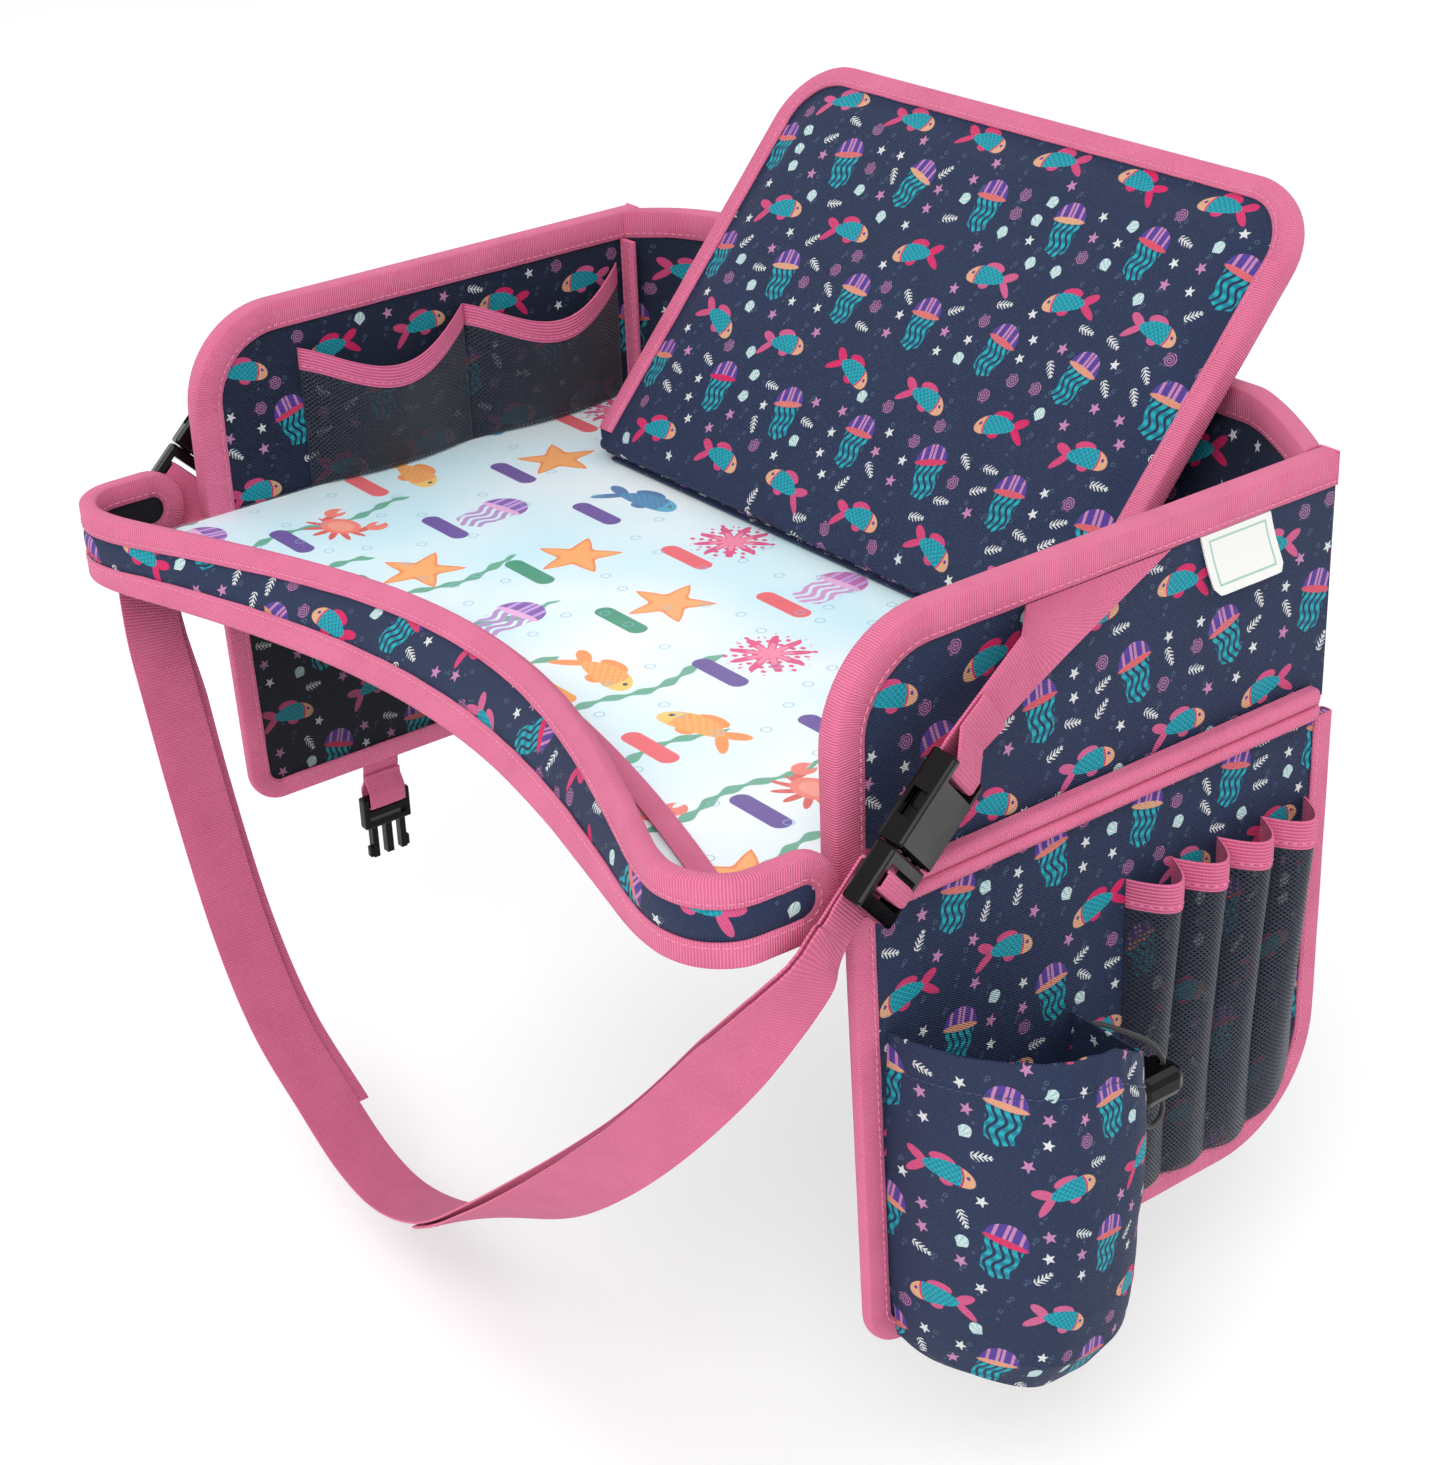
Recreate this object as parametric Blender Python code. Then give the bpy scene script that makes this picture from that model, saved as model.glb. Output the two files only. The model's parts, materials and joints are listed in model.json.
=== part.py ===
"""A car seat tray table for a child: a soft walled tray with a leaning tablet panel, side flaps and a waist strap.

Metres, +Z up, X to the right, -Y towards the child. The origin is the middle of the tray's flat underside.
"""

import math

import bmesh
import bpy
from mathutils import Matrix, Vector

# Clearance between neighbouring pieces, and how far a cut overruns
GAP = 0.0003
OVERRUN = 0.002
MERGE = 0.000001

# Cloth, tape and webbing
CLOTH_T = 0.0008
TAPE_T = 0.0008
TAPE_LIP = 0.0003
WEBBING_W = 0.0254
WEBBING_T = 0.0012
WEBBING_GAP = 0.0004

# Tray, over all
TRAY_W = 0.42
TRAY_D = 0.23
BASE_T = 0.0012
BOARD_T = 0.0078
SHEET_T = 0.0006
COVER_T = 0.0005
COVER_TAPE_W = 0.009
COVER_MOUTH = -0.110
COVER_MOUTH_REACH = 0.046
COVER_MOUTH_POWER = 1.6

# Walls
WALL_TOP = 0.096
WALL_BOARD_T = 0.0044
WALL_CORNER_R = 0.040
WALL_LEG = 0.0115
BACK_BOW = 0.029
BACK_BOW_POWER = 9
BACK_BOW_RIGHT_POWER = 1.25
CORNER_TAPE_W = 0.009
CORNER_TAPE_T = 0.003
SEAM_ROLL_H = 0.0125
SEAM_ROLL_T = 0.006
SEAM_ROLL_FOOT = 0.004
SEAM_ROLL_FRONT = 0.0105
SEAM_ROLL_BACK = -0.006

# Padded rim along the front
RIM_H = 0.032
RIM_PAD_T = 0.0030
RIM_LEG = 0.0090
RIM_END_R = 0.0145
RIM_PAST_SIDE = 0.0085
BELLY_REACH = 0.027
LOBE_REACH = 0.058
RIM_SLANT = 0.025
RIM_PITCH = 0.012
RIM_FRONT_SHARES = ((0, 0), (0.23, 0.10), (0.46, 0.38), (0.68, 0.74), (0.83, 0.98), (0.93, 0.97))
RIM_LOBE_SHARES = ((0.99, 0.80), (1.0, 0.50), (1.0, 0.11))
RIM_SLANT_END_SHARE = 0.905

# Net pockets inside the left wall
NET_T = 0.0007
NET_END_SHARES = (-0.565, 0.157, 0.878)
NET_BULGE = 0.015
NET_TOP = 0.073
NET_SAG = 0.018
NET_BAND_H = 0.0095
NET_BAND_T = 0.0011

# Blank tag on the right wall
TAG_IN = 0.0515
TAG_W = 0.034
TAG_H = 0.023
TAG_T = 0.0007
TAG_LIFT = 0.003

# Buckles on the waist strap; t runs along the buckle, w across it
BUCKLE_OUT = 0.0165
BUCKLE_IN = 0.0375
BUCKLE_Z = 0.0465
BUCKLE_PITCH = math.radians(43.8)
BUCKLE_TURN = math.radians(20)
BUCKLE_HALF_W = 0.017
BUCKLE_T = 0.0095
BUCKLE_ROUND = 0.0012
BAR_L = 0.004
BAR_T = 0.005
SLOT_L = 0.0036
SLOT_HALF_W = 0.0134
SOCKET_START = 0.0095
SOCKET_HALF_W = 0.0136
SOCKET_T = 0.0062
FEMALE_L = 0.033
WINDOW_START = 0.014
WINDOW_L = 0.010
MALE_L = 0.0215
MALE_T = 0.0076
MALE_BARS = (0.0046, 0.0042)
PRONG_START = 0.012
PRONG_T = 0.0052
PRONG_IN = 0.0082
PRONG_OUT = 0.0124
PRONG_TIP = 0.0132
PRONG_TIP_L = 0.008
GUIDE_HALF_W = 0.0024
SIDE_CLEARANCE = 0.0005

# Anchor webbing on the side walls
ANCHOR_Y = -0.001
ANCHOR_BEND_L = 0.007
ANCHOR_RETURN_L = 0.016
ANCHOR_SQUARE_SHARE = 0.5

# Small clip under the flaps, a smaller copy of the buckle
CLIP_SCALE_SHARE = 0.72
CLIP_Y = -0.041
CLIP_TAB_L = 0.016
# Up the tab: where its short layer ends, where the layers meet, where they part, where one goes on alone
CLIP_TAB_SHARES = (0.7, 0.5, 0.2, 0.85)
CLIP_PIVOT_DROP = 0.0006
CLIP_BARB = 0.0016
RIGHT_CLIP_DROP = 0.075

# Tablet panel
PANEL_W = 0.295
PANEL_L = 0.191
PANEL_Y = 0.049
PANEL_AXIS_RISE = 0.0061
PANEL_BACK_DROP = 0.0034
PANEL_R = 0.030
PANEL_FOOT_R = 0.004
PANEL_PAD_T = 0.0020
PANEL_CROWN = 0.0035
PANEL_CROWN_L = 0.013
PANEL_FLAT = 0.003
PANEL_BOARD_T = 0.0030
PANEL_LEG = 0.0085
HINGE_STRIP_FRONT = 0.002
HINGE_STRIP_BACK = 0.016
HINGE_STRIP_IN = 0.010

# Side flaps
FLAP_PAD_T = 0.0020
FLAP_LEG = 0.0085
FLAP_AXIS_Z = -0.0045
FLAP_TOP_RISE = 0.00025
FLAP_PAST = 0.002
FLAP_FRONT_IN = 0.004
FLAP_LEAN = 0.005
RIGHT_FLAP_BOTTOM = -0.181
LEFT_FLAP_BOTTOM = -0.134
RIGHT_FLAP_BACK_R = 0.048
LEFT_FLAP_BACK_R = 0.036
FLAP_FRONT_R = 0.014

# Bottle pouch on the right flap
POUCH_IN = 0.013
POUCH_BACK = -0.009
POUCH_DEPTH = 0.064
POUCH_T = 0.0010
POUCH_BOTTOM = -0.178
POUCH_SAG = 0.018
POUCH_MOUTH_FRONT = -0.052
POUCH_MOUTH_MID = -0.046
POUCH_MOUTH_BACK = -0.080
POUCH_GATHER_SHARE = 0.035
POUCH_TAPER_SHARE = 0.08
# Down the pouch: how far down, how deep, and how much of the sag
POUCH_SHARES = (
    (0, 0.98, 0),
    (0.14, 1.0, 0),
    (0.36, 1.01, 0),
    (0.6, 1.0, 0),
    (0.8, 0.97, 0),
    (0.91, 0.90, 0.3),
    (0.96, 0.74, 0.8),
    (0.98, 0.50, 0.9),
    (0.99, 0.25, 0.45),
    (1.0, 0.04, 0),
)

# Marker pockets on the right flap
MARKER_START = 0.0135
MARKER_IN = 0.0125
MARKER_COUNT = 4
MARKER_BULGE = 0.014
MARKER_TOP = -0.0355
MARKER_BAND_H = 0.0112
MARKER_BAND_T = 0.0011
MARKER_FOOT_SHARE = 0.25

# Drawcord and cord lock
CORD_D = 0.002
LOCK_OUT = 0.026
LOCK_Y = 0.004
LOCK_Z = -0.1035
LOCK_L = 0.021
LOCK_W = 0.015
LOCK_H = 0.0115
LOCK_ROUND = 0.0035
LOCK_WALL = 0.0013
LOCK_CORD_PITCH = 0.011
LOCK_CORD_PLAY = 0.0006
PLUNGER_HALF_L = 0.008
PLUNGER_H = 0.004
PLUNGER_PLAY = 0.0003
PLUNGER_OUT = 0.003
PLUNGER_IN = 0.0101
PLUNGER_HEAD_R = 0.0055
PLUNGER_HEAD_T = 0.0022
PLUNGER_TRAVEL = 0.002
# How far out from the tray's side, y and z
CORD_ROUTE = (
    (0.0105, -0.0104, -0.0870),
    (0.0113, -0.0070, -0.0878),
    (0.0162, -0.0030, -0.0898),
    (0.0222, -0.0018, -0.0922),
    (0.0260, -0.0015, -0.0960),
    (0.0260, -0.0015, -0.1005),
    (0.0260, -0.0015, -0.1070),
    (0.0260, -0.0015, -0.1120),
    (0.0262, -0.0005, -0.1185),
    (0.0264, 0.0040, -0.1225),
    (0.0264, 0.0090, -0.1205),
    (0.0262, 0.0104, -0.1160),
    (0.0260, 0.0095, -0.1115),
    (0.0260, 0.0095, -0.1070),
    (0.0260, 0.0095, -0.1005),
    (0.0260, 0.0095, -0.0960),
    (0.0225, 0.0060, -0.0895),
    (0.0165, -0.0026, -0.0838),
    (0.0113, -0.0072, -0.0820),
    (0.0105, -0.0107, -0.0815),
)

# Waist strap, hanging from the right buckle to the left: shares of the buckles' x, then at each how far in front of
# the tray, how high, and the way across the webbing
STRAP_X_SHARES = (
    0.978, 0.905, 0.79, 0.671, 0.547, 0.375, 0.181, 0.0, -0.155,
    -0.283, -0.419, -0.57, -0.684, -0.781, -0.848, -0.901, -0.967,
)
STRAP_ROUTE = (
    ((0.0230, -0.0090), (-0.15, 0.68, -0.70)),
    ((0.0330, -0.0360), (0.15, 0.62, -0.76)),
    ((0.0335, -0.0680), (0.45, 0.47, -0.76)),
    ((0.0340, -0.0980), (0.58, 0.42, -0.70)),
    ((0.0340, -0.1255), (0.60, 0.45, -0.66)),
    ((0.0340, -0.1595), (0.50, 0.62, -0.58)),
    ((0.0340, -0.1930), (0.30, 0.88, -0.35)),
    ((0.0340, -0.2195), (0.08, 0.99, -0.08)),
    ((0.0340, -0.2310), (0, 1, 0)),
    ((0.0340, -0.2275), (0, 1, 0)),
    ((0.0330, -0.2140), (0, 1, 0)),
    ((0.0330, -0.1920), (0, 1, 0)),
    ((0.0330, -0.1560), (0, 1, 0)),
    ((0.0330, -0.1030), (0, 1, 0)),
    ((0.0325, -0.0610), (0, 1, -0.05)),
    ((0.0310, -0.0320), (0.05, 0.96, -0.25)),
    ((0.0235, -0.0090), (0.25, 0.78, -0.55)),
)
STRAP_LEAD = 0.008
STRAP_STEP = 0.007
TAIL_LIFT = 0.004
RIGHT_TAIL_SHARE = 0.49
LEFT_TAIL_SHARE = 0.40

# Every rounded corner is drawn in this many steps
ARC_STEPS = 6

# Derived sizes
WALL_STACK = WALL_BOARD_T + 2 * (CLOTH_T + GAP)
WALL_HALF = WALL_STACK / 2 + GAP + TAPE_T
SIDE_X = TRAY_W / 2 - WALL_HALF
BACK_Y = TRAY_D / 2 - WALL_HALF
INSIDE_X = SIDE_X - WALL_HALF - GAP
INSIDE_Y = BACK_Y - WALL_HALF - GAP
WALL_FOOT = BASE_T + GAP
NOSE = TAPE_LIP + TAPE_T
BOARD_Z = WALL_FOOT
SHEET_Z = BOARD_Z + BOARD_T + GAP
COVER_Z = SHEET_Z + SHEET_T + GAP
TRAY_TOP = COVER_Z + COVER_T
RIM_STACK = RIM_PAD_T + GAP + CLOTH_T
RIM_HALF_T = RIM_STACK / 2 + 2 * GAP + TAPE_T
FLAP_STACK = FLAP_PAD_T + GAP + CLOTH_T
FLAP_FACE_X = TRAY_W / 2 + FLAP_STACK / 2
FLAP_FRONT = FLAP_FRONT_IN - TRAY_D / 2
FLAP_BACK = TRAY_D / 2 + FLAP_PAST
POUCH_FRONT = FLAP_FRONT + POUCH_IN
MARKER_END = FLAP_BACK - MARKER_IN
PANEL_STACK = PANEL_PAD_T + PANEL_BOARD_T + CLOTH_T + 2 * GAP
PANEL_HALF = PANEL_STACK / 2 + GAP + TAPE_T
BUCKLE_X = TRAY_W / 2 + BUCKLE_OUT
BUCKLE_Y = BUCKLE_IN - TRAY_D / 2
LOCK_AT = (TRAY_W / 2 + LOCK_OUT, LOCK_Y, LOCK_Z)
TAG_Y = TRAY_D / 2 - TAG_IN

PINK = ("pink_grosgrain", (0.80, 0.21, 0.38), 0.75)
PRINT = ("printed_twill", (0.045, 0.065, 0.16), 0.80)
DARK = ("dark_lining", (0.010, 0.012, 0.022), 0.90)
NET = ("navy_net", (0.04, 0.06, 0.13), 0.85)
BOARD = ("board", (0.55, 0.55, 0.52), 0.80)
SHEET = ("play_sheet", (0.60, 0.82, 0.93), 0.35)
CLEAR = ("clear_film", (0.92, 0.96, 0.98), 0.08)
PLASTIC = ("black_plastic", (0.015, 0.013, 0.014), 0.22)
WHITE = ("white_tag", (0.90, 0.90, 0.88), 0.70)
CORD = ("black_cord", (0.012, 0.012, 0.013), 0.70)


def clear_scene():
    for item in list(bpy.data.objects):
        bpy.data.objects.remove(item, do_unlink=True)


def material(look):
    name, colour, roughness = look
    made = bpy.data.materials.get(name)
    if made is None:
        made = bpy.data.materials.new(name)
        made.use_nodes = True
        shader = made.node_tree.nodes["Principled BSDF"]
        shader.inputs["Base Color"].default_value = (*colour, 1)
        shader.inputs["Roughness"].default_value = roughness
        shader.inputs["Metallic"].default_value = 0
    return made


def put(name, mesh, look, origin=None, smooth=True):
    """Links a mesh as the named piece, with its origin on its joint's axis where it moves."""
    made = bmesh.new()
    made.from_mesh(mesh)
    bmesh.ops.recalc_face_normals(made, faces=made.faces)
    made.to_mesh(mesh)
    made.free()
    if origin is not None:
        mesh.transform(Matrix.Translation(-Vector(origin)))
    mesh.materials.clear()
    mesh.materials.append(material(look))
    if smooth:
        mesh.shade_smooth()
        mesh.set_sharp_from_angle(angle=math.radians(35))
    piece = bpy.data.objects.new(name, mesh)
    bpy.context.scene.collection.objects.link(piece)
    if origin is not None:
        piece.location = origin
    return piece


def closed_sheet(front, back, wrap=False):
    """A mesh from two matching grids of points, closed round its edges; wrap joins the last row to the first."""
    rows, across = len(front), len(front[0])
    points = [p for grid in (front, back) for row in grid for p in row]
    under = rows * across
    faces = []
    for i in range(rows if wrap else rows - 1):
        here, there = i * across, (i + 1) % rows * across
        for j in range(across - 1):
            faces.append((here + j, here + j + 1, there + j + 1, there + j))
            faces.append((under + here + j, under + there + j, under + there + j + 1, under + here + j + 1))
        for j in (0, across - 1):
            faces.append((here + j, there + j, under + there + j, under + here + j))
    if not wrap:
        for here in (0, under - across):
            for j in range(across - 1):
                faces.append((here + j, here + j + 1, under + here + j + 1, under + here + j))
    mesh = bpy.data.meshes.new("sheet")
    mesh.from_pydata([tuple(p) for p in points], [], faces)
    return mesh


def spread(start, end, count):
    """count + 1 values from start to end."""
    return [start + (end - start) * i / count for i in range(count + 1)]


def slab(surface, columns, low, high, rows, inner, outer):
    """A plate on a surface, over the columns and rows (shares of the way from low to high), between two offsets."""
    def offset(value, s, h):
        return value(s, h) if callable(value) else value

    def shares(s):
        return rows(s) if callable(rows) else rows

    grids = []
    for value in (outer, inner):
        grid = []
        for s in columns:
            heights = [low(s) + (high(s) - low(s)) * share for share in shares(s)]
            grid.append([surface(s, h, offset(value, s, h)) for h in heights])
        grids.append(grid)
    return closed_sheet(*grids)


def arc_columns(radius):
    """Places along an edge where the points of a rounded corner lie, from the corner's far side."""
    return [radius * (1 - math.cos(math.pi / 2 * i / ARC_STEPS)) for i in range(ARC_STEPS + 1)]


def channel(half, leg, lip):
    """The outside and inside of a folded tape's cross-section: how far in from the edge, and how far off the middle."""
    sides = []
    for more in (TAPE_T, 0):
        turn = [math.pi * i / 3 for i in range(4)]
        nose = [(-(lip + more) * math.sin(a), (half + more) * math.cos(a)) for a in turn]
        sides.append([(leg, half + more), *nose, (leg, -half - more)])
    return sides


def edge_tape(surface, path, half, leg, lip=TAPE_LIP, wrap=False):
    """Binding folded over an edge: path holds each point of the edge and the direction into the piece."""
    grids = []
    for side in channel(half, leg, lip):
        grids.append([[surface(s + a * ds, h + a * dh, n) for a, n in side] for (s, h), (ds, dh) in path])
    return closed_sheet(*grids, wrap=wrap)


def edge_path(corners, pitch, turns=ARC_STEPS):
    """Points along straight edges with rounded corners, each with the direction to its left. corners: (s, h, r)."""
    points = [Vector(c[:2]) for c in corners]
    path = []

    def stretch(start, end):
        way = end - start
        left = (-way.y / way.length, way.x / way.length)
        for share in spread(0, 1, max(1, round(way.length / pitch))):
            path.append((tuple(start.lerp(end, share)), left))

    begin = points[0]
    for before, (corner, after), radius in zip(points, zip(points[1:], points[2:]), [c[2] for c in corners[1:]]):
        way_in, way_out = (corner - before).normalized(), (after - corner).normalized()
        angle = way_in.angle_signed(way_out)
        back = radius * math.tan(abs(angle) / 2)
        stretch(begin, corner - way_in * back)
        side = -1 if angle > 0 else 1
        left_in = Vector((-way_in.y, way_in.x))
        centre = corner - way_in * back + left_in * radius * side
        for i in range(1, turns):
            turned = Matrix.Rotation(-angle * i / turns, 2)
            path.append((tuple(centre - turned @ left_in * radius * side), tuple(turned @ left_in)))
        begin = corner + way_out * back
    stretch(begin, points[-1])
    return path


def smooth_line(points, steps):
    """A curve through the points, with steps pieces between two of them."""
    line = [Vector(p) for p in points]
    ends = [2 * line[0] - line[1], *line, 2 * line[-1] - line[-2]]
    out = []
    for i in range(len(line) - 1):
        a, b, c, d = ends[i : i + 4]
        for t in spread(0, 1, steps)[:-1]:
            out.append(0.5 * (2 * b + (c - a) * t + (2 * a - 5 * b + 4 * c - d) * t**2 + (3 * b - a - 3 * c + d) * t**3))
    return [*out, line[-1]]


def resampled(line, step):
    """The same line with points about step apart."""
    along = [0]
    for a, b in zip(line, line[1:]):
        along.append(along[-1] + (b - a).length)
    count = max(2, round(along[-1] / step))
    out, k = [], 0
    for place in spread(0, along[-1], count):
        while k < len(line) - 2 and along[k + 1] < place:
            k += 1
        out.append(line[k].lerp(line[k + 1], (place - along[k]) / (along[k + 1] - along[k])))
    return out


def ribbon(centres, widths, width, thickness):
    """Flat webbing along its middle line, with the direction across it at each point."""
    front, back = [], []
    for i, (at, across) in enumerate(zip(centres, widths)):
        ahead = centres[min(i + 1, len(centres) - 1)] - centres[max(i - 1, 0)]
        up = ahead.cross(across).normalized() * (thickness / 2)
        side = across * (width / 2)
        front.append([at - side + up, at + side + up])
        back.append([at - side - up, at + side - up])
    return closed_sheet(front, back)


def box(low, high, round_off=0):
    mesh = bpy.data.meshes.new("box")
    made = bmesh.new()
    bmesh.ops.create_cube(made, size=1)
    size, middle = Vector(high) - Vector(low), (Vector(high) + Vector(low)) / 2
    made.transform(Matrix.Translation(middle) @ Matrix.Diagonal((*size, 1)))
    if round_off:
        bmesh.ops.bevel(made, geom=made.edges[:], offset=round_off, segments=2, profile=0.5, affect="EDGES")
    made.to_mesh(mesh)
    made.free()
    return mesh


def round_bar(radius, start, end, sides=20, axis="Y"):
    """A cylinder along Y, or along Z, between two places on it."""
    mesh = bpy.data.meshes.new("bar")
    made = bmesh.new()
    bmesh.ops.create_cone(made, cap_ends=True, segments=sides, radius1=radius, radius2=radius, depth=end - start)
    made.transform(Matrix.Translation((0, 0, (start + end) / 2)))
    if axis == "Y":
        made.transform(Matrix.Rotation(math.radians(-90), 4, "X"))
    made.to_mesh(mesh)
    made.free()
    return mesh


def combined(mesh, others, operation):
    """The mesh after each of the others is cut from it or added to it."""
    base = bpy.data.objects.new("base", mesh)
    bpy.context.scene.collection.objects.link(base)
    tools = []
    for other in others:
        tool = bpy.data.objects.new("tool", other)
        bpy.context.scene.collection.objects.link(tool)
        change = base.modifiers.new("change", "BOOLEAN")
        change.operation, change.object = operation, tool
        tools.append(tool)
    bpy.context.view_layer.update()
    result = bpy.data.meshes.new_from_object(base.evaluated_get(bpy.context.evaluated_depsgraph_get()))
    for item in [base, *tools]:
        bpy.data.objects.remove(item, do_unlink=True)
    return result


def base_and_sheets():
    """The flat stack of the tray, whose front follows the inside of the rim."""
    def flat(x, y, z):
        return Vector((x, y, z))

    def across(half):
        return [-half * math.cos(math.pi * (i + 2) / 36) / math.cos(math.pi / 18) for i in range(33)]

    def layer(name, half, back, low, high, look, front=None):
        edge = front or rim_front(high)
        put(name, slab(flat, across(half), edge, lambda x: back, (0, 1), low, high), look)

    layer("base_cover", SIDE_X + WALL_STACK / 2, TRAY_D / 2 - NOSE, 0, BASE_T, DARK)
    layer("tray_board", INSIDE_X, INSIDE_Y, BOARD_Z, BOARD_Z + BOARD_T, BOARD)
    layer("play_sheet", INSIDE_X, INSIDE_Y, SHEET_Z, SHEET_Z + SHEET_T, SHEET)
    inside = rim_front(TRAY_TOP + TAPE_T)

    def mouth(x):
        share = min(1, abs(x) / INSIDE_X)
        return max(COVER_MOUTH - COVER_MOUTH_REACH * share**COVER_MOUTH_POWER, inside(x))

    layer("clear_cover", INSIDE_X, INSIDE_Y, COVER_Z, TRAY_TOP, CLEAR, mouth)
    low = TRAY_TOP + GAP
    tape = slab(flat, across(INSIDE_X), mouth, lambda x: mouth(x) + COVER_TAPE_W, (0, 1), low, low + TAPE_T)
    put("cover_tape", tape, PINK)


def rim_lines():
    """The rim's middle lines along its foot and its top, from the left lobe round the belly to the right lobe."""
    half_w, front = TRAY_W / 2 + RIM_PAST_SIDE - RIM_HALF_T, -TRAY_D / 2
    belly, lobe = BELLY_REACH - RIM_HALF_T, LOBE_REACH - RIM_HALF_T
    right = [Vector((half_w * x, front - belly - (lobe - belly) * y, 0)) for x, y in RIM_FRONT_SHARES]
    right += [Vector((half_w * x, front - lobe * y, 0)) for x, y in RIM_LOBE_SHARES]
    left = [Vector((-p.x, p.y, 0)) for p in right[:0:-1]]
    line = resampled(smooth_line([*left, *right], 6), RIM_PITCH)
    slant_end = RIM_SLANT_END_SHARE * TRAY_W / 2
    foot, top = [], []
    for p in line:
        slant = RIM_SLANT * max(0, 1 - (p.x / slant_end) ** 2)
        lean = RIM_HALF_T * slant / math.hypot(slant, RIM_H)
        foot.append(p + Vector((0, 0, NOSE + lean)))
        top.append(p + Vector((0, slant, RIM_H - NOSE - lean)))
    return foot, top


class Rim:
    """The slanted front band as a surface: s counts along its lines, h runs up it in metres, n stands off it outwards."""

    def __init__(self):
        self.foot, self.top = rim_lines()
        self.last = len(self.foot) - 1

    def at(self, line, s):
        i = min(max(int(s), 0), self.last - 1)
        return line[i] + (line[i + 1] - line[i]) * (s - i)

    def height(self, s):
        return (self.at(self.top, s) - self.at(self.foot, s)).length

    def place(self, s, h, n):
        foot, top = self.at(self.foot, s), self.at(self.top, s)
        up = (top - foot).normalized()
        i = min(max(s, 0), self.last)
        a, b = max(i - 1, 0), min(i + 1, self.last)
        lift = h / self.height(s)
        ahead = (self.at(self.foot, b) - self.at(self.foot, a)).lerp(self.at(self.top, b) - self.at(self.top, a), lift)
        return foot + up * h + ahead.cross(up).normalized() * n

    def inner(self, s, z):
        """The point at s and the height z that is just clear of the band's inner face."""
        low = self.place(s, -NOSE - GAP, -RIM_HALF_T - 2 * GAP)
        high = self.place(s, self.height(s), -RIM_HALF_T - 2 * GAP)
        return low.lerp(high, max(0, (z - low.z) / (high.z - low.z)))

    def stations(self):
        """Where the band has its points: the ends' round corners, and the run between them."""
        first = RIM_END_R / (self.foot[1] - self.foot[0]).length
        run = spread(first, self.last - first, self.last)
        end = [first * (1 - math.cos(math.radians(a))) for a in range(15, 90, 15)]
        return first, end, run

    def path(self):
        """Round the band's edge: along the foot, up the round end, back along the top and down the other end."""
        first, _, run = self.stations()
        pitch = RIM_END_R / first
        path = [((s, 0), (0, 1)) for s in run]
        low, high = RIM_END_R, self.height(self.last) - RIM_END_R
        for side, middle in ((1, self.last - first), (-1, first)):
            for degrees in range(-75, 90, 15):
                angle = math.radians(side * degrees)
                across, up = side * first * math.cos(angle), math.sin(angle)
                height = (high if up > 0 else low) + RIM_END_R * up
                path.append(((middle + across, height), (-side * math.cos(angle) / pitch, -up)))
            if side > 0:
                path += [((s, self.height(s)), (0, -1)) for s in reversed(run)]
        return path


RIM = Rim()


def rim_front(z):
    """A function for the y of the tray's front edge at x, clear of the rim's inner face up to the height z."""
    _, end, run = RIM.stations()
    line = [RIM.inner(s, z) for s in (*end, *run, *[RIM.last - s for s in reversed(end)])]
    low = min(range(len(line)), key=lambda i: line[i].x)
    high = max(range(len(line)), key=lambda i: line[i].x)
    line = line[low : high + 1]

    def edge(x):
        for a, b in zip(line, line[1:]):
            if a.x <= x <= b.x:
                return a.y + (b.y - a.y) * (x - a.x) / (b.x - a.x)
        return line[-1].y

    return edge


def rim():
    """Padded band with a dark lining inside, bound all round its edge."""
    first, end, run = RIM.stations()

    def reach(s):
        short = max(0, first - s, s - (RIM.last - first)) / first
        return RIM_END_R * (1 - math.sqrt(1 - short**2))

    def top(s):
        return RIM.height(s) - reach(s)

    columns = end + run + [RIM.last - s for s in reversed(end)]
    middle = RIM_STACK / 2

    def rows(s):
        leg = RIM_LEG / RIM.height(s)
        return (0, leg, 0.5, 1 - leg, 1)

    put("rim_pad", slab(RIM.place, columns, reach, top, rows, middle - RIM_PAD_T, middle), PRINT)
    put("rim_lining", slab(RIM.place, columns, reach, top, rows, -middle, CLOTH_T - middle), DARK)
    put("rim_binding", edge_tape(RIM.place, RIM.path(), middle + 2 * GAP, RIM_LEG, wrap=True), PINK)


def side_surface(side):
    return lambda s, h, n: Vector((side * (SIDE_X + n), NOSE - TRAY_D / 2 + s, WALL_FOOT + h))


def back_surface(s, h, n):
    """The back wall, bowed outwards along its top, where its tape keeps it upright."""
    x = s - INSIDE_X
    tall = WALL_TOP - NOSE - WALL_FOOT - WALL_LEG
    flat, power = (PANEL_W / 2, BACK_BOW_RIGHT_POWER) if x > 0 else (0, BACK_BOW_POWER)
    share = max(0, abs(x) - flat) / (INSIDE_X - flat)
    bow = BACK_BOW * min(1, h / tall) * (1 - share**power)
    return Vector((x, BACK_Y + bow + n, WALL_FOOT + h))


def wall(name, surface, columns, top, path, rows):
    """A wall's skins with the board between them, and the tape over its free edges."""
    half = WALL_STACK / 2
    board = WALL_BOARD_T / 2
    for layer, inner, outer, look in (
        ("outer", half - CLOTH_T, half, PRINT),
        ("board", -board, board, BOARD),
        ("inner", -half, CLOTH_T - half, PRINT),
    ):
        put(f"{name}_wall_{layer}", slab(surface, columns, lambda s: 0, top, rows, inner, outer), look)
    put(f"{name}_wall_binding", edge_tape(surface, path, half + GAP, WALL_LEG), PINK)


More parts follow.
